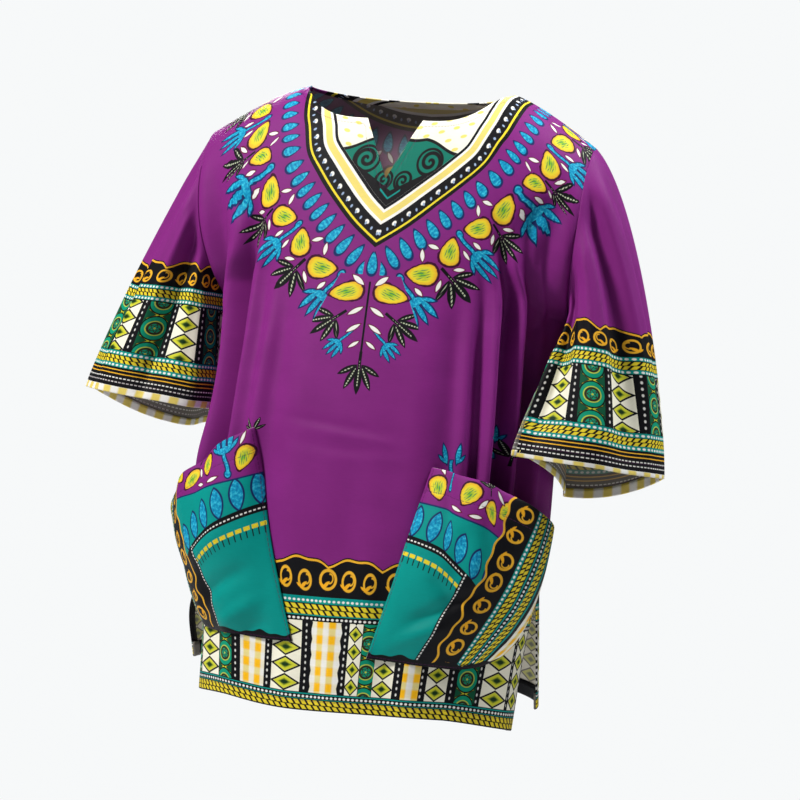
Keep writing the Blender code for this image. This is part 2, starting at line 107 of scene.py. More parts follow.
# Finer creases, which only the look needs: from one flat place to another, width, height.
frontCreases = [
    (-172, 160, -152, 400, 6, -8), (-140, 150, -132, 440, 7, 5), (-124, 130, -118, 460, 8, -15),
    (-107, 170, -103, 460, 6, 5), (-95, 190, -92, 450, 6, -3), (-82, 200, -82, 450, 7, 3.5),
    (84, 210, 88, 470, 6, 3.5), (95, 190, 101, 500, 6.5, -12), (108, 180, 110, 480, 4.5, 5),
    (117, 150, 121, 470, 7, -14), (130, 150, 130, 460, 5.5, 8),
    (145, 120, 141, 440, 9, -15), (152, 130, 146, 440, 15, -9), (164, 130, 157, 410, 5, 5),
    (-64, 324, 30, 334, 4.5, -0.9), (-40, 334, 44, 343, 4, 0.8), (-50, 345, 20, 352, 5, -0.8),
    (-16, 356, 48, 355, 5, 0.6), (-150, 120, -96, 182, 8, -3.5), (165, 100, 118, 176, 8, -4.0),
    (60, 470, 66, 560, 8, 2.2), (-8, 450, -2, 560, 9, 2.0), (-52, 480, -56, 560, 8, -2),
    (36, 440, 44, 540, 8, -2.2), (-186, 190, -140, 240, 6, -3), (186, 190, 146, 236, 6, -3),
    (72, 190, 70, 440, 9, -2.8), (-72, 200, -70, 440, 9, -2.4), (50, 230, 52, 430, 12, 1.6),
    (-44, 230, -46, 430, 12, 1.4), (4, 330, 8, 480, 14, -1.2),
]
backCreases = [
    (-140, 170, -128, 430, 7, -4), (-84, 190, -78, 520, 9, 2.5), (-30, 160, -28, 540, 10, 2.5),
    (30, 160, 28, 540, 10, 2.2), (84, 190, 78, 520, 9, 2.5), (140, 170, 128, 430, 7, -4),
    (-160, 110, -100, 170, 9, -2.2), (160, 110, 104, 170, 9, -2.2), (-40, 336, 44, 344, 4, -0.8),
]


# A curve that leaves its start and arrives at its end as it is told.
def curveBetween(t, start, leave, end, arrive):
    return ((2 * t**3 - 3 * t**2 + 1) * start + (t**3 - 2 * t**2 + t) * leave
            + (3 * t**2 - 2 * t**3) * end + (t**3 - t**2) * arrive)


def hermite(keys, values, at):
    count = len(keys)
    at = np.clip(at, keys[0], keys[-1])
    i = np.clip(np.searchsorted(keys, at, side="right") - 1, 0, count - 2)
    low, high = np.maximum(np.arange(count) - 1, 0), np.minimum(np.arange(count) + 1, count - 1)
    slope = (values[high] - values[low]) / (keys[high] - keys[low])
    span = keys[i + 1] - keys[i]
    return curveBetween((at - keys[i]) / span, values[i], span * slope[i], values[i + 1], span * slope[i + 1])


# A column that carries a seam bends only at the armhole and at the slit.
def smoothValue(table, name, at):
    keys, values = table[:, 0], table[:, sectionColumns.index(name)]
    if name not in seamColumns:
        return hermite(keys, values, at)
    result = np.zeros_like(at)
    ends = (-np.inf, bodyShape["armholeDepth"], bodyShape["slitTop"], np.inf)
    for low, high in zip(ends, ends[1:]):
        rows, part = (keys >= low) & (keys <= high), (at > low) & (at <= high)
        if part.any():
            result[part] = hermite(keys[rows], values[rows], at[part])
    return result


def smoothStep(low, high, at):
    t = np.clip((at - low) / (high - low), 0, 1)
    return t * t * (3 - 2 * t)


def unit(vectors):
    return vectors / np.maximum(np.linalg.norm(vectors, axis=-1, keepdims=True), 1e-9)


def bell(off, width):
    return np.exp(-((off / width) ** 2))


# Large folds run down the panel, and fine creases run any way across it.
def foldHeight(folds, u, v):
    height = np.zeros_like(u)
    for u0, v0, u1, v1, width, out in folds:
        along = (v - v0) / (v1 - v0)
        middle = u0 + (u1 - u0) * np.clip(along, 0, 1)
        reach = smoothStep(-0.15, 0.3, along) * (1 - smoothStep(0.75, 1.15, along))
        height += out * reach * bell(u - middle, width)
    return height


def creaseHeight(creases, u, v):
    height = np.zeros_like(u)
    for u0, v0, u1, v1, width, out in creases:
        run = math.hypot(u1 - u0, v1 - v0)
        du, dv = (u1 - u0) / run, (v1 - v0) / run
        along = ((u - u0) * du + (v - v0) * dv) / run
        reach = smoothStep(-0.1, 0.3, along) * (1 - smoothStep(0.7, 1.1, along))
        height += out * reach * bell((u - u0) * dv - (v - v0) * du, width)
    return height


def sagDepth(u, v):
    sag = frontSag
    toSide = smoothStep(sag["sideFrom"], 1, np.abs(u) / bodyShape["halfWidth"])
    low = sag["low"] + (sag["lowAtSide"] - sag["low"]) * toSide
    depth = sag["left"] + (sag["right"] - sag["left"]) * smoothStep(*sag["across"], u)
    depth = depth + sag["bulge"] * bell(u - sag["bulgeAt"], sag["bulgeWidth"])
    return depth * smoothStep(0, sag["high"] - sag["low"], v - low)


# The section at each flat place. Inside the panel it runs smoothly past the ends of the seams.
def sectionAt(table, u, v):
    inside = 1 - smoothStep(*bodyShape["seamBend"], np.abs(u) / bodyShape["halfWidth"])
    section = {name: smoothValue(table, name, v) for name in sectionColumns}
    for name in seamColumns:
        loose = hermite(table[:, 0], table[:, sectionColumns.index(name)], v)
        section[name] = section[name] + (loose - section[name]) * inside
    return section


# Each flat place lies on its section by its share of the way round from the centre line.
def bodySurface(table, folds, u, v, creases=()):
    u, v = np.broadcast_arrays(np.asarray(u, float), np.asarray(v, float))
    shape, u, v = u.shape, u.ravel(), v.ravel()
    section, steps = sectionAt(table, u, v), bodyShape["arcSteps"]
    share, side, depth = np.abs(u) / bodyShape["halfWidth"], section["side"], section["mid"] - section["side"]
    half = np.where(u < 0, section["left"], section["right"])
    out = np.sin(np.pi / 2 * np.arange(steps + 1) / steps)
    fullness = np.maximum(1 - out ** bodyShape["sectionPower"], 0)[None] ** (1 / section["round"][:, None])
    x, y = half[:, None] * out[None], side[:, None] + depth[:, None] * fullness
    piece = np.hypot(np.diff(x, axis=1), np.diff(y, axis=1))
    run = np.concatenate([np.zeros((len(u), 1)), np.cumsum(piece, axis=1)], axis=1)
    want = share * run[:, -1]
    i, row = np.clip((run <= want[:, None]).sum(1) - 1, 0, steps - 1), np.arange(len(u))
    t = np.minimum((want - run[row, i]) / piece[row, i], 1)
    x = np.copysign(x[row, i] + (x[row, i + 1] - x[row, i]) * t, u)
    y = y[row, i] + (y[row, i + 1] - y[row, i]) * t
    outward = unit(np.stack([x / half**2, (y - side) / (np.abs(depth) + 1) ** 2, 0 * x], axis=1))
    neck = bodyShape["neckHalfWidth"] / bodyShape["halfWidth"]
    slope = np.maximum((share - neck) / (1 - neck), 0) ** bodyShape["shoulderRound"]
    fall = section["drop"] * slope + section["fall"] * (1 + u / bodyShape["halfWidth"]) / 2
    if table is frontSections:
        fall = fall + sagDepth(u, v)
    push = foldHeight(folds, u, v) + creaseHeight(creases, u, v)
    push = push * (1 - smoothStep(bodyShape["edgeFade"], 1, share))
    places = np.stack([x, y, section["z"] - fall], axis=1) + outward * push[:, None]
    return places.reshape(*shape, 3)


def topEdge(u, drop, notched):
    u = np.abs(u)
    flat = bodyShape["notchHalfWidth"] if notched else 0.0
    rise, flatness = bodyShape["neckSquareness"]
    across = np.clip((u - flat) / (bodyShape["neckHalfWidth"] - flat), 0, 1)
    edge = drop * (1 - across**rise) ** (1 / flatness)
    if notched:
        edge = np.where(u < flat, drop + bodyShape["notchDepth"] * (1 - u / flat), edge)
    return np.where(u >= bodyShape["neckHalfWidth"], 0.0, edge)


def surfaceNormals(places, towards, closed=False):
    if closed:
        around = np.concatenate([places[:, -2:-1], places, places[:, 1:2]], axis=1)
        across = around[:, 2:] - around[:, :-2]
    else:
        across = np.gradient(places, axis=1)
    normals = unit(np.cross(across, np.gradient(places, axis=0)))
    return normals * np.sign((normals * towards).sum())


# Each edge rolls under by its radius and lies flat on the inside of the piece.
# seam and hem: which rows of faces, counted from the edge, are laid inside.
turnShape = {"radius": 0.6, "thickness": 0.5, "press": 0.15, "angles": (60, 120, 180),
             "seam": (1, 2, 4), "hem": (1, 2, 4, 6)}
seam, hem = turnShape["seam"], turnShape["hem"]


# For each row of the turned piece: the row it comes from, how far inside and outward it lies, and its edge.
def turnedPlan(count, turns):
    radius = turnShape["radius"]
    plan = [(i, 0.0, 0.0, 0) for i in range(count)]
    for end, rows in zip((-1, 1), turns):
        edge = 0 if end < 0 else count - 1
        plan[0 if end < 0 else -1] = (edge, 0.0, -radius, end)
        extra = [(edge, radius * (1 - math.cos(a)), radius * (math.sin(a) - 1) + turnShape["press"], end)
                 for a in np.radians(turnShape["angles"])]
        extra += [(abs(edge - k), 2 * radius, 0.0, end) for k in rows]
        plan = extra[::-1] + plan if end < 0 else plan + extra
    return [np.array(column) for column in zip(*plan)]


def outOfEdge(places, normals, end):
    edge, beside = (0, 1) if end < 0 else (-1, -2)
    out = unit(np.cross(np.gradient(places[edge], axis=0), normals[edge]))
    return out * np.sign((out * (places[edge] - places[beside])).sum(-1, keepdims=True))


def turnEdges(places, normals, fields, rowTurns, columnTurns=(seam, seam)):
    r, rDepth, rOut, rEnd = turnedPlan(places.shape[0], rowTurns)
    c, cDepth, cOut, cEnd = turnedPlan(places.shape[1], columnTurns)
    result = places[np.ix_(r, c)] - normals[np.ix_(r, c)] * (rDepth[:, None] + cDepth[None])[..., None]
    flipped, flippedNormals = places.swapaxes(0, 1), normals.swapaxes(0, 1)
    for end in (-1, 1):
        result += (rOut * (rEnd == end))[:, None, None] * outOfEdge(places, normals, end)[c][None]
        result += (cOut * (cEnd == end))[None, :, None] * outOfEdge(flipped, flippedNormals, end)[r][:, None]
    turned = {}
    for name, values in fields.items():
        edge = np.where(rEnd < 0, 0, values.shape[0] - 1)
        values = np.where(rEnd[:, None] == 0, values[r], 2 * values[edge] - values[r])
        edge = np.where(cEnd < 0, 0, values.shape[1] - 1)
        turned[name] = np.where(cEnd[None] == 0, values[:, c], 2 * values[:, edge] - values[:, c])
    return result, turned


# A cloth piece is a grid laid on its places and given a thickness.
# vectors: which fields each attribute holds.
def addCloth(name, places, outward, fields, vectors, finish):
    rows, columns = places.shape[:2]
    bpy.ops.object.select_all(action="DESELECT")
    bpy.ops.mesh.primitive_grid_add(x_subdivisions=columns - 1, y_subdivisions=rows - 1, size=1)
    piece = bpy.context.object
    piece.name = piece.data.name = name
    mesh = piece.data
    mesh.vertices.foreach_set("co", (places * mm).ravel())
    facing = np.cross(places[1:, :-1] - places[:-1, :-1], places[:-1, 1:] - places[:-1, :-1])
    if (facing * outward[:-1, :-1]).sum() > 0:
        bpy.ops.object.mode_set(mode="EDIT")
        bpy.ops.mesh.select_all(action="SELECT")
        bpy.ops.mesh.flip_normals()
        bpy.ops.object.mode_set(mode="OBJECT")
    for label, names in vectors.items():
        values = np.stack([fields[n] if n else np.zeros((rows, columns)) for n in names], axis=-1)
        attribute = mesh.attributes.new(label, "FLOAT_VECTOR", "POINT")
        attribute.data.foreach_set("vector", values.astype(np.float32).ravel())
    corner = np.empty(len(mesh.loops), int)
    mesh.loops.foreach_get("vertex_index", corner)
    flat = np.stack([fields["u"].ravel(), -fields["v"].ravel()], axis=1) * mm
    mesh.uv_layers[0].name = "flatPattern"
    mesh.uv_layers[0].data.foreach_set("uv", flat[corner].ravel())
    for material in finish["materials"] + finish["reverses"]:
        mesh.materials.append(material)
    if finish["choose"]:
        middles = {n: (f[:-1, :-1] + f[1:, 1:]) / 2 for n, f in fields.items()}
        mesh.polygons.foreach_set("material_index", finish["choose"](middles).astype(int).ravel())
    bpy.ops.object.shade_smooth()
    thickness = piece.modifiers.new("clothThickness", "SOLIDIFY")
    thickness.thickness = turnShape["thickness"] * mm
    thickness.offset = -1
    thickness.material_offset = len(finish["materials"])
    bpy.ops.object.modifier_apply(modifier=thickness.name)
    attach(piece, "root")
    print("cloth piece", name, len(mesh.polygons), "faces")
    return piece


# The body's grids of places.
def columnPlaces():
    notch, neck, side = (bodyShape[n] for n in ("notchHalfWidth", "neckHalfWidth", "halfWidth"))
    atNotch, atNeck, atShoulder = bodyShape["columns"]
    half = np.concatenate([
        np.linspace(0, notch, atNotch, endpoint=False),
        notch + (neck - notch) * np.sin(np.pi / 2 * np.arange(atNeck) / atNeck),
        np.linspace(neck, side, atShoulder),
    ])
    return np.concatenate([-half[:0:-1], half])


def rowPlaces():
    ends = (0, bodyShape["armholeDepth"], bodyShape["slitTop"], bodyShape["length"])
    rows = [np.arange(a, b - 1e-6, (b - a) / round((b - a) / bodyShape["pitch"]))
            for a, b in zip(ends, ends[1:])]
    return np.concatenate(rows + [[ends[-1]]])


def bodyGrid(table, folds, creases, drop, notched, sign):
    u, rows = columnPlaces(), rowPlaces()
    reach = np.maximum(1 - rows / bodyShape["armholeDepth"], 0)
    v = rows[:, None] + topEdge(u, drop, notched)[None] * reach[:, None]
    u = np.broadcast_to(u[None], v.shape)
    places = bodySurface(table, folds, u, v, creases)
    return places, surfaceNormals(places, (0, sign, 0)), {"u": u, "v": v}


# Folds of a sleeve: how far round, where they start and stop from armhole to cuff, width, height.
sleeveShape = {
    "left": {"side": -1, "middle": (-221, 10, -283), "wide": 67, "deep": 48, "tilt": 5, "edgeShown": 2.4,
             "turned": 4, "back": 22, "leave": 0.55, "folds": [
                 (0.10, -0.2, 0.9, 0.035, -4), (0.19, -0.2, 1.1, 0.04, 5), (0.29, -0.3, 0.9, 0.035, -7),
                 (0.37, 0.0, 1.2, 0.035, 5), (0.66, 0.0, 1.2, 0.04, -6), (0.76, -0.2, 1.1, 0.04, 5),
                 (0.87, -0.2, 0.9, 0.04, -5),
                 (0.13, -0.2, 0.9, 0.014, -3), (0.16, 0.1, 1.0, 0.012, 2), (0.225, -0.1, 0.9, 0.016, 3.5),
                 (0.27, -0.1, 1.0, 0.014, -4.5), (0.33, 0.0, 0.9, 0.014, 3), (0.71, -0.1, 0.9, 0.016, -3),
                 (0.06, -0.1, 0.8, 0.014, 2), (0.82, 0.0, 0.9, 0.016, 2.5)]},
    "right": {"side": 1, "middle": (174, -14, -309), "wide": 74, "deep": 45, "tilt": -4, "edgeShown": -0.4,
              "turned": 24, "back": 28, "leave": 1.05, "folds": [
                  (0.09, -0.2, 0.8, 0.035, 4), (0.17, -0.2, 1.0, 0.035, -7), (0.25, -0.2, 1.1, 0.035, 6),
                  (0.33, -0.3, 0.8, 0.03, -8), (0.40, 0.1, 1.2, 0.035, 5), (0.65, 0.0, 1.2, 0.04, -6),
                  (0.75, -0.2, 1.1, 0.04, 5), (0.88, -0.2, 0.9, 0.04, -5),
                  (0.36, -0.2, 0.9, 0.016, -6), (0.30, -0.1, 0.9, 0.014, 3.5), (0.21, -0.1, 0.8, 0.018, 3),
                  (0.145, -0.2, 0.85, 0.016, -3.5), (0.115, 0.1, 0.9, 0.012, 2.2),
                  (0.05, -0.1, 0.7, 0.014, -2.2), (0.71, -0.1, 0.9, 0.016, -3),
                  (0.82, 0.0, 0.9, 0.016, 2.5)]},
    "keepsLeaving": 0.6, "keepsArriving": 0.6, "underarmLeave": 0.35, "cuffPoint": 1.25, "cuffDroop": 1.3,
    "foldStart": 0.35, "foldStop": (0.3, 0.15), "foldsFrom": 0.18, "clearFrom": 0.3,
    "rings": 116, "armholeSteps": 82, "girth": 366, "printMiddle": 0.25,
}


def clearOfBody(places, gap):
    shape, flat = places.shape, places.reshape(-1, 3)
    gap = np.broadcast_to(gap, shape[:-1]).ravel()
    result, power = flat.copy(), bodyShape["sectionPower"]
    for table, chosen in ((frontSections, flat[:, 1] < 0), (backSections, flat[:, 1] >= 0)):
        start = smoothValue(table, "z", np.array([float(bodyShape["clearBelow"])]))[0]
        chosen = chosen & (flat[:, 2] <= start)
        p, g = flat[chosen], gap[chosen]
        v = np.interp(-p[:, 2], -table[:, 1], table[:, 0])
        left, right, mid, side, full = (
            smoothValue(table, n, v) for n in ("left", "right", "mid", "side", "round"))
        half, deep = np.where(p[:, 0] < 0, left, right) + g, np.abs(mid - side) + g
        reach = (np.abs(p[:, 1] - side) / deep) ** full + (np.abs(p[:, 0]) / half) ** power
        grow = np.where(reach < 1, np.maximum(reach, 1e-6) ** (-1 / power), 1)
        result[chosen] = np.stack([p[:, 0] * grow, side + (p[:, 1] - side) * grow, p[:, 2]], axis=1)
    return result.reshape(shape)


def armholeLoop(u, steps):
    down = np.linspace(0, bodyShape["armholeDepth"], steps + 1)
    loop = np.concatenate([bodySurface(frontSections, [], np.full(steps + 1, u), down),
                           bodySurface(backSections, [], np.full(steps - 1, u), down[-2:0:-1])])
    length = np.linalg.norm(loop - np.roll(loop, 1, axis=0), axis=1)
    girth = length.sum()
    length[0] = 0
    return loop, np.cumsum(length) / girth


def cuffLoop(cuff, turn):
    side, tilt, turned = cuff["side"], math.radians(cuff["tilt"]), math.radians(cuff["turned"])
    across = np.array([side * math.cos(turned), math.sin(turned), math.tan(tilt)])
    forward = np.array([side * math.sin(turned), -math.cos(turned), 0])
    angle = 2 * np.pi * turn
    depth = np.copysign(np.abs(np.sin(angle)) ** sleeveShape["cuffPoint"], np.sin(angle))
    loop = np.array(cuff["middle"], float) + across * cuff["wide"] * np.cos(angle)[:, None]
    loop = loop + forward * cuff["deep"] * depth[:, None]
    loop[:, 2] -= cuff["back"] * np.maximum(-depth, 0) ** sleeveShape["cuffDroop"]
    return loop


# The sleeve leaves the armhole downwards, least at the underarm, and arrives at the cuff along its own axis.
def sleeveTube(cuff, armhole, end, axis, t):
    top, low = armhole[0, 2], armhole[sleeveShape["armholeSteps"], 2]
    under = sleeveShape["underarmLeave"]
    spread = cuff["leave"] * (under + (1 - under) * (armhole[:, 2] - low) / (top - low))
    reach = np.linalg.norm(end - armhole, axis=1, keepdims=True)
    leave = unit(np.stack([cuff["side"] * spread, 0 * spread, -1 + 0 * spread], axis=1))
    leave = leave * reach * sleeveShape["keepsLeaving"]
    return curveBetween(t, armhole, leave, end, axis * reach * sleeveShape["keepsArriving"])


def sleeveFolds(folds, turn, t):
    height, (before, after) = 0, sleeveShape["foldStop"]
    for at, start, stop, width, out in folds:
        off = (turn - at + 0.5) % 1 - 0.5
        hold = smoothStep(start, start + sleeveShape["foldStart"], t)
        hold = hold * (1 - smoothStep(stop - before, stop + after, t))
        height = height + out * hold * bell(off, width)
    return height * smoothStep(0, sleeveShape["foldsFrom"], t)


def sleeveGrid(name):
    cuff, steps = sleeveShape[name], sleeveShape["armholeSteps"]
    armhole, turn = armholeLoop(cuff["side"] * bodyShape["halfWidth"], steps)
    middle, centre = armhole.mean(axis=0), np.array(cuff["middle"], float)
    axis = unit(centre - middle)
    t = np.linspace(0, 1, sleeveShape["rings"] + 1)[:, None, None]
    places = sleeveTube(cuff, armhole, cuffLoop(cuff, turn), axis, t)
    outward = places - (middle + (centre - middle) * t)
    outward = unit(outward - axis * (outward @ axis)[..., None])
    places += outward * sleeveFolds(cuff["folds"], turn, t[..., 0])[..., None]
    gap = bodyShape["wall"] + bodyShape["sleeveClear"] * smoothStep(0, sleeveShape["clearFrom"], t[..., 0])
    places[1:] = clearOfBody(places[1:], gap[1:])
    # The grid starts and ends at the underarm, where the sleeve's own seam is.
    order = np.roll(np.arange(2 * steps), -steps)
    places = places[:, np.append(order, order[0])]
    turn = np.append(turn[order], turn[order[0]])
    turn[:steps] -= 1
    run = np.linalg.norm(np.diff(places, axis=0), axis=-1)
    run = np.concatenate([np.zeros((1, places.shape[1])), np.cumsum(run, axis=0)])
    u = (turn - sleeveShape["printMiddle"]) * sleeveShape["girth"]
    fields = {"u": np.broadcast_to(u, run.shape), "v": run, "h": run[-1] - run}
    outward = places - (middle + (centre - middle) * t)
    return places, surfaceNormals(places, outward, closed=True), fields


# A pocket's corners are flat places on the front. mouth and belly: how far it stands open there.
pocketShape = {
    "left": {"innerTop": (-80, 338), "outerTop": (-186, 424), "innerLow": (-38, 502),
             "outerLow": (-172, 508), "mouth": 20, "belly": 12, "dip": 0, "free": 14, "round": 0.4,
             "creases": [(-126, 482, -66, 442, 7, -4.2), (-108, 504, -58, 464, 6, 3.4),
                         (-130, 452, -84, 420, 6, 2.8), (-98, 508, -56, 486, 6, -2.8),
                         (-140, 500, -118, 462, 7, 2.4)]},
    "right": {"innerTop": (66, 358), "outerTop": (180, 402), "innerLow": (30, 512),
              "outerLow": (166, 520), "mouth": 26, "belly": 17, "dip": -8, "free": 4, "round": 0.5,
              "creases": [(54, 484, 112, 448, 7, -4.6), (44, 500, 92, 478, 6, 3.2),
                          (70, 440, 96, 462, 6, -2.8), (98, 396, 88, 450, 8, -3.2),
                          (130, 420, 146, 500, 6, 2.6)]},
    "gap": 0.8, "mouthFullness": 0.7, "bellyFullness": 0.8, "freeFrom": 0.6, "sideways": 0.35,
    "probe": 2.0, "steps": 80,
}


# The flat places of a pocket's grid, whose lower outer corner is round.
def pocketPlaces(pocket, across, down):
    size = pocket["round"]
    a, d = np.maximum((across - 1) / size + 1, 0), np.maximum((down - 1) / size + 1, 0)
    rounded = (a > 0) & (d > 0)
    i = np.where(rounded, 1 + (a * np.sqrt(1 - d * d / 2) - 1) * size, across)
    j = np.where(rounded, 1 + (d * np.sqrt(1 - a * a / 2) - 1) * size, down)
    innerTop, outerTop, innerLow, outerLow = (
        np.array(pocket[n], float) for n in ("innerTop", "outerTop", "innerLow", "outerLow"))
    i, j = i[..., None], j[..., None]
    flat = (1 - j) * ((1 - i) * innerTop + i * outerTop) + j * ((1 - i) * innerLow + i * outerLow)
    return flat[..., 0], flat[..., 1] + pocket["dip"] * np.sin(np.pi * i[..., 0]) * (1 - j[..., 0])


def pocketGrid(name):
    pocket, steps = pocketShape[name], pocketShape["steps"]
    across, down = (g.astype(float) / steps for g in np.meshgrid(*[np.arange(steps + 1)] * 2))
    u, v = pocketPlaces(pocket, across, down)
    step = pocketShape["probe"]
    place, beside, below = (bodySurface(frontSections, frontFolds, u - np.copysign(a, u), v + b)
                            for a, b in ((0, 0), (step, 0), (0, step)))
    normal = unit(np.cross(beside - place, below - place))
    outward = np.stack([place[..., 0], 0 * u - bodyShape["halfWidth"], 0 * u], axis=-1)
    normal *= np.sign((normal * outward).sum(-1, keepdims=True))
    hold = np.maximum(np.sin(np.pi * across), 0) ** pocketShape["mouthFullness"]
    height = pocket["mouth"] * (1 - down)
    height += pocket["belly"] * np.maximum(np.sin(np.pi * down), 0) ** pocketShape["bellyFullness"]
    height += creaseHeight(pocket["creases"], u, v)
    height *= hold
    height += pocket["free"] * (1 - down) ** 3 * smoothStep(pocketShape["freeFrom"], 1, across)
    stand = unit(np.stack([np.copysign(pocketShape["sideways"], u), 0 * u - 1, 0 * u], axis=-1))
    stand = unit(normal * (1 - hold)[..., None] + stand * hold[..., None])
    # Where the pocket lies on the front, it follows the front's creases.
    creased = bodySurface(frontSections, frontFolds, u, v, frontCreases) - place
    place = place + creased * (1 - smoothStep(0, 0.5, hold))[..., None]
    places = place + normal * pocketShape["gap"] + stand * height[..., None]
    normals = surfaceNormals(places, normal)
    return places + normals * bodyShape["wall"], normals, {"u": u, "v": v, "across": across, "down": down}


# A small toolbox for writing the print as shader nodes.
def ink(red, green, blue):
    def linear(value):
        value /= 255
        return value / 12.92 if value <= 0.04045 else ((value + 0.055) / 1.055) ** 2.4
    return linear(red), linear(green), linear(blue)


inks = {name: ink(*levels) for name, levels in {
    "purple": (124, 36, 118), "black": (14, 14, 18), "white": (234, 232, 226), "cream": (240, 236, 216),
    "yellow": (228, 206, 48), "paleYellow": (228, 208, 114), "straw": (226, 204, 104),
    "lime": (204, 204, 52), "gold": (230, 172, 46), "orange": (240, 172, 34), "amber": (248, 186, 26),
    "leafGreen": (120, 176, 40), "green": (14, 120, 84), "seaGreen": (10, 146, 112),
    "deepGreen": (10, 84, 56), "olive": (96, 120, 34), "darkLeaf": (24, 52, 22), "vein": (190, 200, 170),
    "teal": (0, 142, 134), "deepTeal": (4, 112, 94), "navy": (22, 40, 92), "deepBlue": (10, 104, 156),
    "midBlue": (16, 150, 190), "skyBlue": (64, 194, 216), "paleBlue": (150, 170, 200),
    "plum": (58, 10, 40), "darkRed": (96, 14, 52), "thread": (74, 24, 70), "bark": (52, 40, 24),
}.items()}


def connect(tree, item, socket):
    if isinstance(item, Value):
        tree.links.new(item.socket, socket)
    elif socket.type == "RGBA":
        socket.default_value = (*item, 1)
    else:
        socket.default_value = item


def addNode(tree, kind, inputs, output=0, **settings):
    node = tree.nodes.new("ShaderNode" + kind)
    for name, setting in settings.items():
        setattr(node, name, setting)
    for key, item in inputs.items():
        connect(tree, item, node.inputs[key])
    return Value(tree, node.outputs[output])


class Value:
    def __init__(self, tree, socket):
        self.tree, self.socket = tree, socket

    def math(self, operation, *others, clamp=False):
        given = dict(enumerate((self, *others)))
        return addNode(self.tree, "Math", given, operation=operation, use_clamp=clamp)

    def vector(self, operation, *others):
        output = "Value" if operation == "LENGTH" else "Vector"
        return addNode(self.tree, "VectorMath", dict(enumerate((self, *others))), output, operation=operation)

    def __add__(self, other):
        return self.math("ADD", other)

    def __sub__(self, other):
        return self.math("SUBTRACT", other)

    def __mul__(self, other):
        return self.math("MULTIPLY", other)

    def __truediv__(self, other):
        return self.math("DIVIDE", other)

    def __abs__(self):
        return self.math("ABSOLUTE")

    def sine(self):
        return self.math("SINE")

    def above(self, limit):
        return self.math("GREATER_THAN", limit)

    def scaled(self, factor, offset=0.0):
        return self.math("MULTIPLY_ADD", factor, offset)

    def least(self, other):
        return self.math("MINIMUM", other)

    def most(self, other):
        return self.math("MAXIMUM", other)

    def repeated(self, pitch, offset=0.0):
        return self.scaled(1 / pitch, offset).math("FRACT").scaled(pitch, -pitch / 2)

    # A mask that is 1 below the edge, above it, or between two edges.
    def inside(self, edge=0.0, soft=0.4):
        return self.math("MULTIPLY_ADD", -1 / soft, edge / soft + 0.5, clamp=True)

    def past(self, edge=0.0, soft=0.4):
        return self.scaled(-1).inside(-edge, soft)

    def between(self, low, high, soft=0.4):
        return abs(self - (low + high) / 2).inside((high - low) / 2, soft)


def point(x, y, z=0.0):
    tree = next(item.tree for item in (x, y, z) if isinstance(item, Value))
    return addNode(tree, "CombineXYZ", {0: x, 1: y, 2: z})


def parts(vector):
    node = vector.tree.nodes.new("ShaderNodeSeparateXYZ")
    connect(vector.tree, vector, node.inputs[0])
    return [Value(vector.tree, output) for output in node.outputs]


def placed(vector, centre, size=(1, 1), turn=0):
    return addNode(vector.tree, "Mapping", {
        "Vector": vector, "Location": (*centre, 0), "Rotation": (0, 0, math.radians(turn)),
        "Scale": (*size, 1)}, vector_type="TEXTURE")


# Shapes give a distance in millimetres: below 0 inside.
def ellipse(vector, centre, size, turn=0):
    least = min(size)
    return placed(vector, centre, size, turn).vector("LENGTH").scaled(least, -least)


def leaf(vector, centre, width, length, turn=0):
    ratio = width / length
    far = (1 + ratio * ratio) / (2 * ratio)
    out = placed(vector, centre, (length / 2, length / 2), turn - 90).vector("ABSOLUTE")
    return out.vector("ADD", (far - ratio, 0, 0)).vector("LENGTH").scaled(length / 2, -far * length / 2)


def swollen(x, swell, y, width):
    return point(x / swell * (1 / width), y).vector("LENGTH").scaled(width, -width)


def joined(*shapes):
    return functools.reduce(Value.least, shapes)


def paint(base, *layers):
    for colour, mask in layers:
        colour = inks[colour] if isinstance(colour, str) else colour
        base = addNode(base.tree, "Mix", {0: mask, 6: base, 7: colour}, 2, data_type="RGBA")
    return base


def evenly(value, colour):
    return paint(value * 0, (colour, value * 0 + 1))


def striped(value, low, high, stops, smooth=False):
    node = value.tree.nodes.new("ShaderNodeValToRGB")
    node.color_ramp.interpolation = "LINEAR" if smooth else "CONSTANT"
    elements = node.color_ramp.elements
    for i, (at, colour) in enumerate(stops):
        element = elements[i] if i < 2 else elements.new(1.0)
        element.position = min(max((at - low) / (high - low), 0), 1)
        element.color = (*(inks[colour] if isinstance(colour, str) else colour), 1)
    connect(value.tree, value.scaled(1 / (high - low), -low / (high - low)), node.inputs[0])
    return Value(value.tree, node.outputs[0])


groups = {}
vectorSockets = ("place", "flat", "band", "stitches", "rightHand", "leftHand")


# Makes a node group of the function below it, which takes and gives the sockets named.
def nodeGroup(name, takes, gives):
    def build(work):
        tree = groups[name] = bpy.data.node_groups.new(name, "ShaderNodeTree")
        for direction, labels in (("INPUT", takes), ("OUTPUT", gives)):
            for label in labels.split():
                kind = "Color" if label == "colour" else "Vector" if label in vectorSockets else "Float"
                tree.interface.new_socket(name=label, in_out=direction, socket_type="NodeSocket" + kind)
        start, end = tree.nodes.new("NodeGroupInput"), tree.nodes.new("NodeGroupOutput")
        results = work(*(Value(tree, start.outputs[label]) for label in takes.split()))
        for label, item in zip(gives.split(), results):
            connect(tree, item, end.inputs[label])
        return work
    return build


def drawn(name, **given):
    tree = next(iter(given.values())).tree
    node = tree.nodes.new("ShaderNodeGroup")
    node.node_tree = groups[name]
    for label, item in given.items():
        connect(tree, item, node.inputs[label])
    found = [Value(tree, output) for output in node.outputs]
    return found[0] if len(found) == 1 else found


print("making the print")


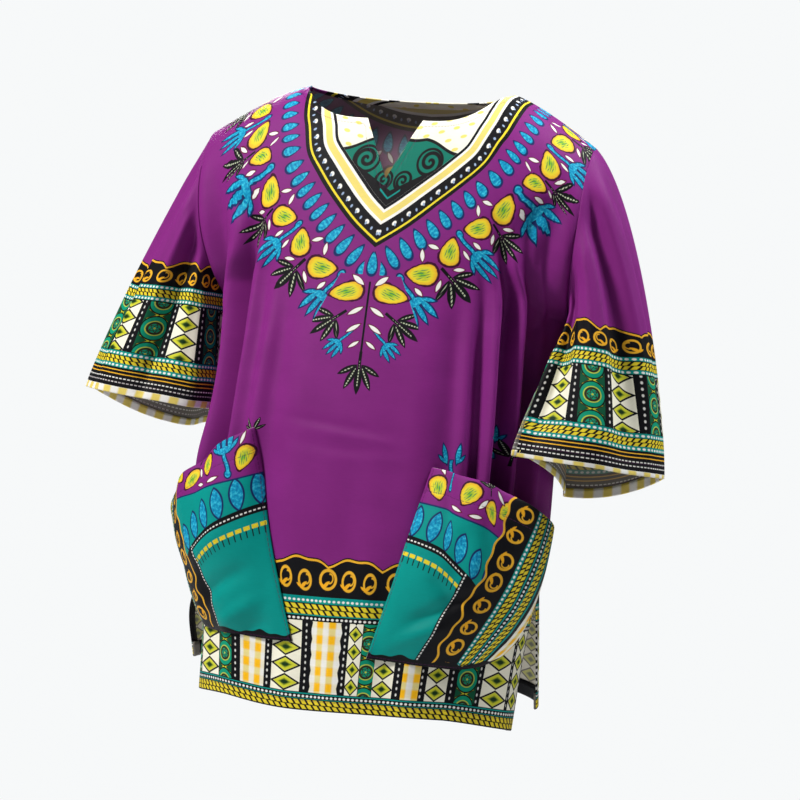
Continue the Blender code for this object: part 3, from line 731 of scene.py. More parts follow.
# Motifs of the borders: rows run along across, columns up along height.
motifPitch = {"braid": 5.0, "dot": 3.9, "ring": 19.0, "dotted": 5.4, "diamond": 15.0, "gingham": 13.6,
              "medallion": 24.0, "arch": 44.0}


@nodeGroup("braidRow", "across height", "mask")
def braidRow(across, height):
    slanted = across + height * 0.8 + height.math("SIGN") * (motifPitch["braid"] / 4)
    bars = abs(slanted.repeated(motifPitch["braid"])).inside(1.6, 0.5)
    return [bars * abs(abs(height) - 1.75).inside(1.45)]


@nodeGroup("dotRow", "across height", "mask")
def dotRow(across, height):
    return [ellipse(point(across.repeated(motifPitch["dot"]), height), (0, 0), (1.2, 1.0)).inside()]


@nodeGroup("ringRow", "across height", "mask flame")
def ringRow(across, height):
    pitch = motifPitch["ring"]
    cell = across.scaled(1 / pitch).math("FLOOR")
    wobble, stretch = (cell * 2.4).sine(), (cell * 1.7).sine().scaled(0.16, 1.0)
    x, y = across.repeated(pitch) + wobble, height + wobble * 0.7
    spot = point(x, y)
    gap = abs(y - 1.5).inside(1.2) * x.above(2.5) * (cell * 3.1).sine().above(0.3)
    ring = abs(ellipse(spot.vector("MULTIPLY", point(stretch, 1.0)), (0, 0.2), (5.6, 6.0), 10)).inside(0.92)
    curl = abs(ellipse(spot, (1.6, 1.0), (2.6, 3.0))).inside(0.5) * x.above(1.0)
    flame = joined(leaf(spot, (-1.4, -3.0), 2.6, 7.6, 38), leaf(spot, (-4.8, -3.4), 2.0, 6.4, -30))
    return (ring * gap.scaled(-1, 1)).most(curl), flame.inside()


@nodeGroup("dottedColumn", "across height", "colour")
def dottedColumn(across, height):
    dot = ellipse(point(across, height.repeated(motifPitch["dotted"])), (0, 0), (0.75, 1.25))
    return [paint(evenly(across, "black"), ("white", dot.inside() * 0.85))]


@nodeGroup("diamondColumn", "across height halfWidth", "colour")
def diamondColumn(across, height, halfWidth):
    x, y = abs(across) / halfWidth, abs(height.repeated(motifPitch["diamond"]))
    far, eye = x + y * (1 / 7.3), point(x * 7.0, y + x).vector("LENGTH")
    return [paint(
        striped(x, 0, 1, [(0, "cream"), (0.95, "black")]), ("black", far.between(0.78, 1.02, 0.06)),
        ("lime", far.inside(0.78, 0.05)), ("olive", far.inside(0.42, 0.2)),
        ("darkLeaf", eye.inside(1.7, 0.8)))]


@nodeGroup("ginghamColumn", "across height", "colour")
def ginghamColumn(across, height):
    pitch = motifPitch["gingham"]
    stripe, check = abs(abs(across) - 5.6).inside(2.9, 1.4), abs(height.repeated(pitch)).inside(3.7, 1.6)
    edge = abs(across) + abs(height.repeated(pitch, 0.5)) * 0.22
    return [paint(evenly(across, "white"), ("paleYellow", stripe * 0.85), ("paleYellow", check * 0.3),
                  ("amber", stripe * check), ("black", edge.past(14.2)))]


@nodeGroup("medallionColumn", "across height", "colour")
def medallionColumn(across, height):
    pitch = motifPitch["medallion"]
    y = height.repeated(pitch)
    far, oval = point(across, y).vector("LENGTH"), ellipse(point(across, y), (0, 0), (9.6, 10.6))
    flower = far - across.math("ARCTAN2", y).scaled(5.0).sine() * 0.9
    between = abs(height.repeated(pitch, 0.5))
    cross = abs(abs(across) - between * 1.5 - 1.0)
    return [paint(
        striped(abs(across), 0, 12, [(0, "deepGreen"), (9.8, "black")]),
        ("black", cross.inside(1.8) * between.inside(4.6)), ("lime", cross.inside(1.0) * between.inside(4.2)),
        ("black", oval.inside(0.8)), ("seaGreen", oval.inside(-0.3)),
        ("lime", abs(far - 6.4).inside(0.35)),
        ("bark", abs(far - 5.0).inside(0.85)), ("bark", abs(flower - 2.7).inside(0.5)),
        ("lime", far.inside(0.8)))]


def paintRows(colour, across, height, row, tint, levels, squeeze=(1.0, 1.0)):
    for level in levels:
        place = {"across": across * squeeze[0], "height": (height - level) * squeeze[1]}
        colour = paint(colour, (tint, drawn(row, **place)))
    return colour


def paintBorderRows(colour, across, height, rows):
    colour = paintRows(colour, across, height, "dotRow", "white", rows["dots"])
    colour = paintRows(colour, across, height, "braidRow", "yellow", rows["braids"], rows["braidSqueeze"])
    (low, middle, high), squeeze = rows["rings"], rows["ringSqueeze"]
    arch = across.repeated(motifPitch["arch"], 0.2) * (2 / motifPitch["arch"])
    wave = (arch * arch).scaled(-6.0, 3.4) + (across * 0.31).sine() * 0.8
    top = striped(height - wave, low, high + 10, [
        (low, "black"), (high - 1.7, "gold"), (high, "black"), (high + 0.9, "purple")])
    ring, flame = drawn("ringRow", across=across * squeeze[0], height=(height - middle) * squeeze[1])
    return paint(colour, (top, height.above(low)), ("gold", ring), ("orange", flame))


# The hem's border: rows at heights above the edge, and columns, each with where it starts and its kind.
hemRows = {
    "stripes": [(0, "black"), (9.2, "teal"), (10.0, "black"), (13.6, "teal"), (14.6, "black"),
                (80.4, "teal"), (81.6, "black"), (90.4, "teal"), (96.0, "black")],
    "panel": (15.4, 76.3), "dots": (11.8, 78.4, 93.2), "braids": (4.8, 86.0), "braidSqueeze": (0.82, 0.78),
    "rings": (97.5, 109.5, 123), "ringSqueeze": (1.06, 0.84), "top": 130,
}
hemColumns = [
    (-190, "black"), (-187, "diamond"), (-168, "black"), (-164, "green"), (-153, "black"),
    (-150, "diamond"), (-113, "green"), (-97, "black"), (-88, "gingham"), (-64, "black"),
    (-58, "diamond"), (-29, "black"), (-22, "gingham"), (8, "black"), (12.5, "diamond"), (25, "green"),
    (36, "diamond"), (55, "black"), (62, "gingham"), (76, "black"), (82, "diamond"), (102, "black"),
    (109, "green"), (128, "black"), (132.5, "diamond"), (165, "black"), (168, "diamond"),
    (187, "black"), (190, "black"),
]
columnKinds = {"diamond": (1, 0, 0), "green": (0, 1, 0), "gingham": (0, 0, 1), "black": (0, 0, 0)}


@nodeGroup("hemPrint", "across height", "colour")
def hemPrint(across, height):
    # Two ramps carry the kind of each column, and its middle and half width.
    reach, widest = bodyShape["halfWidth"], 20
    stops = [start for start, kind in hemColumns[1:]] + [reach]
    places = [(start, ((start + stop) / reach / 4 + 0.5, (stop - start) / 2 / widest, 0))
              for (start, kind), stop in zip(hemColumns, stops)]
    kinds = [(start, columnKinds[kind]) for start, kind in hemColumns]
    chosen = parts(striped(across, -reach, reach, kinds))
    middle, half = parts(striped(across, -reach, reach, places))[:2]
    place = {"across": across - middle.scaled(2 * reach, -reach), "height": height}
    panel = paint(drawn("dottedColumn", **place),
                  (drawn("diamondColumn", **place, halfWidth=half * widest), chosen[0]),
                  (drawn("medallionColumn", **place), chosen[1]),
                  (drawn("ginghamColumn", **place), chosen[2]))
    colour = striped(height, 0, hemRows["top"], hemRows["stripes"])
    colour = paint(colour, (panel, height.between(*hemRows["panel"], 0.3)))
    return [paintBorderRows(colour, across, height, hemRows)]


sleeveRows = {
    "stripes": [(0, "white"), (3.6, "black"), (14.6, "gold"), (15.7, "black"), (18.0, "gold"),
                (18.7, "black"), (20.8, "teal"), (24.4, "black"), (31.8, "teal"), (35.4, "black"),
                (85, "teal"), (88.4, "black"), (96, "teal"), (99.5, "black")],
    "dashes": ((11.4, 0.5), (7.6, 0.45)), "panel": (36.4, 84.2), "dots": (22.6, 33.6, 86.7, 97.8),
    "braids": (28.1, 92.2), "braidSqueeze": (1.0, 1.0), "rings": (99.5, 107.8, 119.5),
    "ringSqueeze": (1.04, 1.16), "top": 122, "columnPitch": 61.0, "medallion": 10.6, "diamond": 12.8,
    "diamondHalfWidth": 13.0, "dotted": 14, "edgePitch": 13.4, "dashPitch": 3.1,
}


@nodeGroup("sleevePrint", "across height", "colour")
def sleevePrint(across, height):
    rows = striped(height, 0, sleeveRows["top"], sleeveRows["stripes"])
    edging = abs(across.repeated(sleeveRows["edgePitch"])).inside(3.4, 1.6) * height.inside(3.6)
    dash, rows = abs(across.repeated(sleeveRows["dashPitch"])).inside(1.0), paint(rows, ("straw", edging))
    for level, size in sleeveRows["dashes"]:
        rows = paint(rows, ("white", dash * abs(height - level).inside(size)))
    local = across.repeated(sleeveRows["columnPitch"], 0.5)
    side = abs(local).scaled(-1, sleeveRows["columnPitch"] / 2)
    diamonds = drawn("diamondColumn", across=side, height=height, halfWidth=sleeveRows["diamondHalfWidth"])
    medallions = drawn("medallionColumn", across=local, height=height - 0.5)
    panel = paint(drawn("dottedColumn", across=abs(local) - sleeveRows["dotted"], height=height),
                  (medallions, abs(local).inside(sleeveRows["medallion"], 0.3)),
                  (diamonds, side.inside(sleeveRows["diamond"], 0.3)))
    colour = paint(rows, (panel, height.between(*sleeveRows["panel"], 0.3)))
    return [paintBorderRows(colour, across, height, sleeveRows)]


# The neck's bands, by distance inward from its curve, and the field inside them.
yokeBands = {
    "stripes": [(-2, "purple"), (0, "black"), (3.4, "yellow"), (5.2, "black"), (16.4, "white"),
                (19, "paleYellow"), (25, "white"), (27.3, "black"), (30, "white")],
    "outer": -2, "inner": 38, "field": 30, "tip": 126.0, "beadPitch": 15.6, "fleckPitch": (12.0, 11.0),
    "spirals": (((31, 99), 12.0, 6.6, 1), ((9.5, 117), 8.0, 5.0, -1)),  # centre, radius, pitch, hand
}


@nodeGroup("yokePrint", "band flat", "colour")
def yokePrint(band, flat):
    inward, along, x = parts(band)
    v = parts(flat)[1]
    pitch = yokeBands["beadPitch"]
    bead, small = point(along.repeated(pitch), inward), point(along.repeated(pitch / 2, 0.5), inward)
    colour = paint(striped(inward, yokeBands["outer"], yokeBands["inner"], yokeBands["stripes"]),
                   ("white", ellipse(bead, (0, 10.8), (2.4, 1.7), 12).inside()),
                   ("paleBlue", ellipse(small, (0, 9.3), (1.0, 1.5), -20).inside()))
    # Small flecks on cream above, spirals on teal below, and a black tip.
    wide, tall = yokeBands["fleckPitch"]
    fleck = point((x + v * 0.4).repeated(wide, 0.3), (v + x * 0.35).repeated(tall))
    field = paint(evenly(x, "cream"), ("yellow", ellipse(fleck, (0, 0), (3.0, 1.5), 20).inside() * 0.8))
    spirals = x * 0
    for centre, radius, pitch, hand in yokeBands["spirals"]:
        spoke = placed(point(x, v), centre)
        far, (sx, sy) = spoke.vector("LENGTH"), parts(spoke)[:2]
        winding = sy.math("ARCTAN2", sx) * (hand / (2 * math.pi))
        line = abs((far * (1 / pitch) - winding).math("FRACT") - 0.5).inside(0.27, 0.1)
        spirals = spirals.most(line * far.inside(radius)).most(abs(far - radius).inside(1.2))
    tip = (v + x * 0.55).past(yokeBands["tip"])
    lower = paint(evenly(x, "deepTeal"), ("black", spirals), ("black", tip),
                  ("teal", abs(inward - 35.5).inside(0.7) * tip * x.inside(10)))
    below = v - (x - 22).most(0) * 0.34 - (x * 0.16).sine() * 1.2 - 79
    field = paint(field, (lower, below.past()), ("black", abs(below).inside(1.5)))
    return [paint(colour, (field, inward.past(yokeBands["field"])))]


# Motifs of the garland. Each stands upright on its place.
@nodeGroup("tulip", "place", "distance")
def tulip(place):
    x, y = parts(place)[:2]
    sided = point(abs(x), y)
    stem = abs(x + (y * 0.22).sine() * 0.8).most(abs(y + 14) - 12) - 1.2
    return [joined(ellipse(place, (0, -2.5), (6.4, 3.6)), leaf(place, (0, 7), 4.2, 22, 90),
                   leaf(sided, (6.6, 6.0), 4.2, 22, 80), leaf(sided, (9.6, 0.5), 2.8, 11, 48), stem,
                   ellipse(place, (0, -27), (2.3, 3.2)))]


@nodeGroup("sprig", "place", "distance vein")
def sprig(place):
    x, y = parts(place)[:2]
    sided, middle, lower = point(abs(x), y), (6.2, 5.0), (9.4, -1.5)
    stem = abs(x).most(abs(y + 10) - 6) - 0.9
    shape = joined(leaf(place, (0, 7), 5.4, 23, 90), leaf(sided, middle, 5.0, 21, 66),
                   leaf(sided, lower, 4.4, 17, 30), stem)
    vein = abs(x).most(abs(y - 3) - 9).least(abs(leaf(sided, middle, 0.2, 17, 66))).inside(0.4)
    for centre, length, turn in ((middle, 16, 66), (lower, 12, 30)):
        vein = vein.most(leaf(sided, centre, 0.9, length, turn).inside())
    return shape, vein * shape.inside(-0.7) * abs((x * 0.4 + y).repeated(2.5)).inside(0.75)


@nodeGroup("petal", "place", "distance hatch")
def petal(place):
    # A hand-drawn edge: the place wanders a little.
    noise = addNode(place.tree, "TexNoise", {"Vector": place, "Scale": 0.16}, "Color")
    wander = noise.vector("SUBTRACT", (0.5, 0.5, 0.5)).vector("MULTIPLY", (2.6, 2.6, 0))
    x, y = parts(place.vector("ADD", wander))[:2]
    shape = swollen(x, (y * (1 / 11)).scaled(-0.34, 0.94), y * (1 / 11.4), 8.6)
    strokes = abs((x + y * 0.22).repeated(2.1)).inside(0.36) * abs((y + x * 1.7).repeated(6.5)).inside(2.3)
    return shape, strokes * shape.inside(-3.6, 1.2)


@nodeGroup("mottle", "place", "colour")
def mottle(place):
    noise = addNode(place.tree, "TexNoise", {"Vector": place, "Scale": 0.45}, "Fac")
    return [striped(noise, 0.3, 0.7, [(0.3, "deepBlue"), (0.5, "midBlue"), (0.7, "skyBlue")], smooth=True)]


def drawTulip(colour, spot):
    shape = drawn("tulip", place=spot)
    return paint(colour, ("navy", shape.inside(1.2)), (drawn("mottle", place=spot), shape.inside()))


def drawPetal(colour, spot):
    shape, hatch = drawn("petal", place=spot)
    tones = [(-8, "leafGreen"), (-4.6, "lime"), (-2.4, "yellow"), (-0.2, "gold")]
    return paint(colour, ("plum", shape.inside(1.5)),
                 (striped(shape, -9, 0, tones, smooth=True), shape.inside()), ("green", hatch))


def drawSprig(colour, spot):
    shape, vein = drawn("sprig", place=spot)
    return paint(colour, ("black", shape.inside(0.4)), ("vein", vein))


def drawSeeds(colour, spot, seeds):
    shape = joined(*(leaf(spot, *seed) for seed in seeds))
    return paint(colour, ("darkRed", shape.inside(0.8)), ("white", shape.inside()))


def drawDrop(colour, shape, spot, rim=1.15):
    return paint(colour, ("navy", shape.inside(rim)), (drawn("mottle", place=spot), shape.inside()))


# motifs and drops: their pitch at the centre, how fast it changes along the curve, and a start.
# Seeds are given by centre, width, length and turn.
garlandShape = {
    "motifs": (16.4, 0.0292, 0.08), "drops": (14.3, 0.0178, -0.152), "dropLength": (-0.26, 9.6),
    "leastDrop": 6.4, "dropPlace": (0.22, -15.8), "dropWidth": 3.9, "repeatWidth": 60,
    "tulipAt": 0.375, "sprigAt": 0.875, "tulip": (0, 62), "sprig": (0, 64), "petal": (14.5, 41.5),
    "petalTurn": -128,
    "seeds": [((5.5, 29), 3.2, 10, 58), ((9.5, 57), 2.8, 9, 40), ((23.5, 53), 3.0, 9, 100)],
}
sprayShape = {
    "stem": (206, 286), "drop": 190, "dropSize": (4.1, 9.2), "starts": 200, "joins": (178, 203),
    "seeds": [((10, 205), 4.2, 13, -38), ((9, 232), 3.6, 14, 32), ((9, 247), 3.2, 13, 34),
              ((7, 261), 2.6, 10, 36)],
}


def counted(along, pitch, change, start):
    return along.scaled(-change / pitch, 1).math("LOGARITHM", math.e).scaled(-1 / change, start)


def drawSpray(x, v):
    place, (width, length) = point(x, v), sprayShape["dropSize"]
    spray = paint(evenly(x, "purple"), ("black", x.inside(0.9) * v.between(*sprayShape["stem"])))
    hanging = v.scaled(1 / length, -sprayShape["drop"] / length)
    spray = drawDrop(spray, swollen(x, v.scaled(0.033, -5.35), hanging, width), place)
    spray = drawSprig(spray, placed(place, (30, 243), turn=-52))
    spray = drawTulip(spray, placed(place, (21, 262), size=(0.62, 0.62), turn=-40))
    spray = drawSprig(spray, placed(place, (0, 284)))
    spray = drawPetal(spray, placed(place, (19, 216), size=(0.95, 1.2), turn=-78))
    return drawSeeds(spray, place, sprayShape["seeds"])


@nodeGroup("garlandPrint", "band flat", "colour")
def garlandPrint(band, flat):
    inward, along, x = parts(band)
    far, v, shape = inward.scaled(-1), parts(flat)[2], garlandShape
    index, drop = counted(along, *shape["motifs"]), counted(along, *shape["drops"])
    # A row of drops lies close to the bands.
    length = index.scaled(*shape["dropLength"]).most(shape["leastDrop"])
    dy = (far + index.scaled(*shape["dropPlace"])) / length
    drops = swollen(drop.repeated(1.0) * 14.0, dy.scaled(0.3, 0.92), dy, shape["dropWidth"])
    colour = drawDrop(evenly(x, "purple"), drops, point(drop * 9, far))
    # Then the garland repeats a tulip, a petal, a sprig and a petal.
    repeat, width = index.scaled(1 / 4), shape["repeatWidth"]
    tulips, sprigs = ((repeat + shape[at]).math("FRACT").scaled(width, -width / 2)
                      for at in ("tulipAt", "sprigAt"))
    sided = point(abs(sprigs), far)
    colour = drawSprig(colour, placed(point(sprigs, far), shape["sprig"]))
    colour = drawPetal(colour, placed(sided, shape["petal"], turn=shape["petalTurn"]))
    colour = drawTulip(colour, placed(point(tulips, far), shape["tulip"]))
    colour = drawSeeds(colour, sided, shape["seeds"])
    # A spray hangs at the centre.
    middle = (x - v.scaled(0.42, -58)).inside() * v.above(sprayShape["starts"])
    middle = middle.most(x.inside(7.2) * v.between(*sprayShape["joins"]) * far.math("LESS_THAN", 40))
    return [paint(colour, (drawSpray(x, v), middle))]


# The two ends of the neck's curve are measured from their own side, so that they meet in a sharp point.
@nodeGroup("nearerHand", "rightHand leftHand", "band")
def nearerHand(right, left):
    x = parts(right)[2]
    chosen = addNode(x.tree, "Mix", {0: x.above(0), 4: left, 5: right}, 1, data_type="VECTOR")
    return [chosen.vector("MULTIPLY", (1, 1, 0)).vector("ADD", point(0.0, 0.0, abs(x)))]


# Pockets are cut across the border of another panel, so that the band runs down one side.
# field and arc: how far down they lie at the inner edge and 70 mm on. band: start and lean.
pocketPrint = {
    "left": {"field": (31, 21), "arc": (51, 66), "band": (62, 0.02), "tulip": (21, -24), "size": (134, 140)},
    "right": {"field": (26, 34), "arc": (50, 78), "band": (62, -0.175), "tulip": (20, -35),
              "size": (132, 142)},
    "petals": (((9, -13), -24), ((37, -17), 14), ((57, -12), -40), ((72, -20), 42), ((92, -15), 70),
               ((104, -30), 20)),
    "seeds": [((31, -4), 2.4, 9, 8), ((47, -14), 2.8, 9, -62), ((64, -27), 3, 11, 28),
              ((8, -27), 2.4, 9, 60), ((82, -9), 2.8, 9, 24), ((45, -4), 2.4, 8, -12),
              ((84, -27), 3, 10, -50), ((30, -32), 2.6, 9, 40)],
    "strip": [(0, "teal"), (3.8, "black"), (12, "teal"), (13.4, "black"), (17.4, "teal"),
              (18.6, "black"), (26.2, "teal"), (28, "black")],
    "wave": 14, "rings": 26, "stripFrom": 37, "gingham": 45, "dots": (1.8, 15.5), "braids": (8.0, 22.0),
}


def drawPocket(place, options):
    across, down = parts(place)[:2]
    width, length = options["size"]
    x, y = across * width, down * length
    start, lean = options["band"]
    side = x - y.scaled(lean, start)
    bend = (x * (1 / 70)).math("POWER", 2.0)
    edges = options["field"], options["arc"]
    level, low = (y - bend * (bent - straight) - straight for straight, bent in edges)
    # Drops hang between the edge of the purple field and the dotted arc.
    drop = point(x.repeated(13.4, 0.3), low + 11)
    colour = drawDrop(evenly(x, "teal"), leaf(drop, (0, 0), 7.8, 20, 90), drop, 1.2)
    colour = paint(
        colour, ("black", abs(low - 2).inside(2.6)),
        ("white", abs(x.repeated(2.8)).inside(0.8) * abs(low - 2.4).inside(0.45)),
        ("black", abs(x.repeated(4.2)).inside(0.4) * (low - 8).between(5, 10)),
        ("yellow", abs(x.repeated(5.6)).inside(2.1) * abs(low - 12).inside(1.3)))
    # The purple field has its own petals, seeds, a sprig and a small tulip.
    field, spot = evenly(x, "purple"), point(x, level)
    for centre, turn in pocketPrint["petals"]:
        field = drawPetal(field, placed(spot, centre, size=(0.68, 0.72), turn=turn))
    field = drawTulip(field, placed(spot, options["tulip"], size=(0.72, -0.72), turn=4))
    field = drawSprig(field, placed(spot, (48, -30), size=(0.5, -0.5), turn=-20))
    field = drawSeeds(field, spot, pocketPrint["seeds"])
    # The band runs down the side.
    gold = side + (y * 0.17).sine() * 1.5 + (y * 0.37).sine() - pocketPrint["wave"]
    lower, outer = low.above(0), side - pocketPrint["stripFrom"]
    dots = abs(y.repeated(2.6)).inside(0.8) * abs(side - 1.6).inside(0.5)
    ring, flame = drawn("ringRow", across=y, height=side - pocketPrint["rings"])
    checks = drawn("ginghamColumn", across=outer - pocketPrint["gingham"], height=y)
    strip = paint(striped(outer, 0, 40, pocketPrint["strip"]), (checks, outer.between(32, 58)))
    colour = paint(
        colour, (field, level.inside()), ("navy", abs(level).inside(0.6)),
        ("black", (side.past() * lower).most(gold.past())), ("white", dots * lower),
        ("gold", abs(gold).inside(0.95)), ("gold", ring), ("orange", flame), (strip, outer.past()))
    colour = paintRows(colour, y, outer, "dotRow", "white", pocketPrint["dots"])
    colour = paintRows(colour, y, outer, "braidRow", "yellow", pocketPrint["braids"])
    edge = y.scaled(-1, length) + (x * 0.17).sine() * 1.3 + (x * 0.41).sine() * 0.7
    return [paint(colour, ("black", edge.inside(5.2)))]


for name in ("left", "right"):
    makeGroup = nodeGroup("pocketPrint" + name.title(), "place", "colour")
    makeGroup(functools.partial(drawPocket, options=pocketPrint[name]))


# Cloth: the weave, its stitching and its paler reverse.
@nodeGroup("reverseFade", "colour", "colour")
def reverseFade(colour):
    return [paint(colour, ((0.40, 0.37, 0.33), 0.45))]


weave = {"threads": 9.0, "cloud": 0.03, "cloudDetail": 3, "slub": 0.6, "stitch": 3.3, "threadShown": 0.55,
         "finish": {"Specular IOR Level": 0.1, "Sheen Weight": 0.01, "Sheen Roughness": 0.4},
         "bump": {"Strength": 0.25, "Distance": 0.0003}}


# A stitches vector holds the distance from the line of topstitching and the way along it.
@nodeGroup("topStitch", "place", "thread pull")
def topStitch(place):
    off, run = parts(place)[:2]
    near = abs(off)
    thread = near.inside(0.34, 0.3) * abs(run.repeated(weave["stitch"])).inside(1.25, 0.4)
    pucker = (run * 0.62).sine() * near.inside(3.5, 6.0)
    return thread, thread * 2.2 - near.inside(0.9, 1.2) * 2.0 + pucker * 0.9


@nodeGroup("cottonWeave", "flat colour stitches", "colour roughness height")
def cottonWeave(flat, colour, stitches):
    u, v = parts(flat)[:2]
    threads = (u * weave["threads"]).sine() * (v * weave["threads"]).sine()
    cloud = addNode(u.tree, "TexNoise", {
        "Vector": flat, "Scale": weave["cloud"], "Detail": weave["cloudDetail"]}, "Fac")
    stretched = flat.vector("MULTIPLY", (0.25, 1.6, 1))
    slub = addNode(u.tree, "TexNoise", {"Vector": stretched, "Scale": weave["slub"]}, "Fac")
    shade = cloud.scaled(0.24, 0.86) + slub.scaled(0.14, -0.07) + threads * 0.03
    stitch, pull = drawn("topStitch", place=stitches)
    toned = colour.vector("MULTIPLY", point(shade, shade, shade))
    toned = paint(toned, ("thread", stitch * weave["threadShown"]))
    return toned, slub.scaled(0.18, 0.46), threads.scaled(0.35) + slub * 0.8 + pull


def attribute(tree, name):
    return addNode(tree, "Attribute", {}, "Vector", attribute_name=name)


def makeCloth(name, colourOf, reverse=False):
    material = bpy.data.materials.new(name)
    material.use_nodes = True
    tree = material.node_tree
    shader = tree.nodes["Principled BSDF"]
    flat = attribute(tree, "flat")
    colour = colourOf(flat)
    if reverse:
        colour = drawn("reverseFade", colour=colour)
    colour, roughness, height = drawn(
        "cottonWeave", flat=flat, colour=colour, stitches=attribute(tree, "stitches"))
    normal = addNode(tree, "Bump", {**weave["bump"], "Height": height})
    finish = {"Base Color": colour, "Roughness": roughness, "Normal": normal, **weave["finish"]}
    for label, item in finish.items():
        connect(tree, item, shader.inputs[label])
    return material


def plainColour(flat):
    return evenly(parts(flat)[0], "purple")


# A few motifs lie loose on the front: centre, turn and size.
looseTulips = (((80, 350), 176, 0.74), ((-150, 326), 196, 0.6), ((118, 330), 170, 0.6))
looseSprigs = (((129, 340), 186, 0.66), ((-82, 337), 172, 0.5))


def fieldColour(flat):
    colour = plainColour(flat)
    for draw, motifs in ((drawTulip, looseTulips), (drawSprig, looseSprigs)):
        for centre, turn, size in motifs:
            colour = draw(colour, placed(flat, centre, size=(size, size), turn=turn))
    return colour


def neckColour(group):
    def colourOf(flat):
        hands = {name: attribute(flat.tree, name) for name in ("rightHand", "leftHand")}
        return drawn(group, band=drawn("nearerHand", **hands), flat=flat)
    return colourOf


def hemColour(flat):
    u, v = parts(flat)[:2]
    return drawn("hemPrint", across=u, height=v.scaled(-1, bodyShape["length"]))


def sleeveColour(flat):
    across, height, shown = parts(attribute(flat.tree, "cuffPlace"))
    return drawn("sleevePrint", across=across, height=height - shown)


def pocketColour(name):
    return lambda flat: drawn("pocketPrint" + name, place=attribute(flat.tree, "pocketPlace"))


cloths = {}
for name, colourOf in (
        ("plain", plainColour), ("field", fieldColour), ("yoke", neckColour("yokePrint")),
        ("garland", neckColour("garlandPrint")), ("hem", hemColour), ("sleeve", sleeveColour),
        ("pocketLeft", pocketColour("Left")), ("pocketRight", pocketColour("Right"))):
    label = "cotton" + name.title()
    cloths[name] = makeCloth(label, colourOf), makeCloth(label + "Reverse", colourOf, reverse=True)


# The outer curve of the neck's bands, from the centre line to the shoulder, in flat places.
# shiftAt: how far the print lies to one side, by the distance down.
yokeShape = {
    "front": [(0, 176), (27, 157), (50, 137), (70.5, 117.5), (88, 97.5), (97, 75), (102.5, 60), (108.5, 30),
              (109, 0)],
    "back": [(0, 60), (30, 57), (60, 48), (84, 33), (101, 14), (109, 0)],
    "shiftAt": {"front": ((70, 107, 131, 154, 176), (14, 10, 5.5, 2.5, 0)),
                "back": ((0, 30, 60), (14, 8, 0))},
    "sprayLift": {"front": 0, "back": 56}, "reach": 160, "samples": 700, "batches": 24,
}


def neckCurve(points):
    points = np.array(points, float)
    along = np.concatenate([[0], np.cumsum(np.linalg.norm(np.diff(points, axis=0), axis=1))])
    at = np.linspace(-yokeShape["reach"], along[-1] + yokeShape["reach"], yokeShape["samples"])
    held = np.clip(at, 0, along[-1])
    curve = np.stack([hermite(along, points[:, k], held) for k in range(2)], axis=1)
    slope = np.gradient(curve[(at > 0) & (at < along[-1])], axis=0)
    curve += unit(slope[:1]) * np.minimum(at, 0)[:, None]
    curve += unit(slope[-1:]) * np.maximum(at - along[-1], 0)[:, None]
    return at, curve


# Each place is measured from the curve of both hands: how far inward of it, and how far along it.
def addNeckFields(fields, name):
    at, curve = neckCurve(yokeShape[name])
    tangent = unit(np.gradient(curve, axis=0))
    x = fields["u"] - np.interp(fields["v"], *yokeShape["shiftAt"][name])
    for hand, sign in (("right", 1), ("left", -1)):
        points = np.stack([x * sign, fields["v"]], axis=-1).reshape(-1, 2)
        nearest = np.concatenate([((batch[:, None] - curve) ** 2).sum(-1).argmin(1)
                                  for batch in np.array_split(points, yokeShape["batches"])])
        off, ahead = points - curve[nearest], tangent[nearest]
        run = at[nearest] + (off * ahead).sum(1)
        inward = off[:, 0] * ahead[:, 1] - off[:, 1] * ahead[:, 0]
        fields[hand + "In"], fields[hand + "Along"] = inward.reshape(x.shape), run.reshape(x.shape)
    fields["x"], fields["hang"] = x, fields["v"] + yokeShape["sprayLift"][name]


# Topstitching: how far in from each kind of edge it runs, from where the slit has it, and a pocket's size.
stitchShape = {"hem": 8, "slit": 7, "neck": 6, "cuff": 10, "mouth": 17, "patch": 1.8, "none": 99,
               "slitAbove": 6, "patchSize": (134, 142)}


def bodyStitches(fields, drop, notched):
    u, v, columns = fields["u"], fields["v"], columnPlaces()
    slope = np.gradient(topEdge(columns, drop, notched), columns)
    lean = np.sqrt(1 + np.interp(u, columns, slope) ** 2)
    atNeck = (v - topEdge(u, drop, notched)) / lean - stitchShape["neck"]
    atSlit = bodyShape["halfWidth"] - np.abs(u) - stitchShape["slit"]
    return [(bodyShape["length"] - v - stitchShape["hem"], u),
            (np.where(v > bodyShape["slitTop"] - stitchShape["slitAbove"], atSlit, stitchShape["none"]), v),
            (np.where(np.abs(u) < bodyShape["neckHalfWidth"], atNeck, stitchShape["none"]), u * lean)]


def sleeveStitches(fields):
    return [(fields["h"] - stitchShape["cuff"], fields["u"])]


def pocketStitches(fields):
    (width, length), patch = stitchShape["patchSize"], stitchShape["patch"]
    x, y = fields["across"] * width, fields["down"] * length
    return [(y - stitchShape["mouth"], x), (x - patch, y), (width - x - patch, y), (length - y - patch, x)]


def addStitchFields(fields, lines):
    off, run = lines[0]
    for other, along in lines[1:]:
        nearer = np.abs(other) < np.abs(off)
        off, run = np.where(nearer, other, off), np.where(nearer, along, run)
    fields["off"], fields["run"] = off, run


# Where each cloth lies on the body and on the sleeves, in millimetres of the print.
printReach = {"yoke": -3, "garland": -104, "spray": (70, 315), "hem": 134, "cuff": 126}
stitched = {"stitches": ("off", "run", None)}
neckVectors = {"flat": ("u", "v", "hang"), **stitched,
               "rightHand": ("rightIn", "rightAlong", "x"), "leftHand": ("leftIn", "leftAlong", "x")}


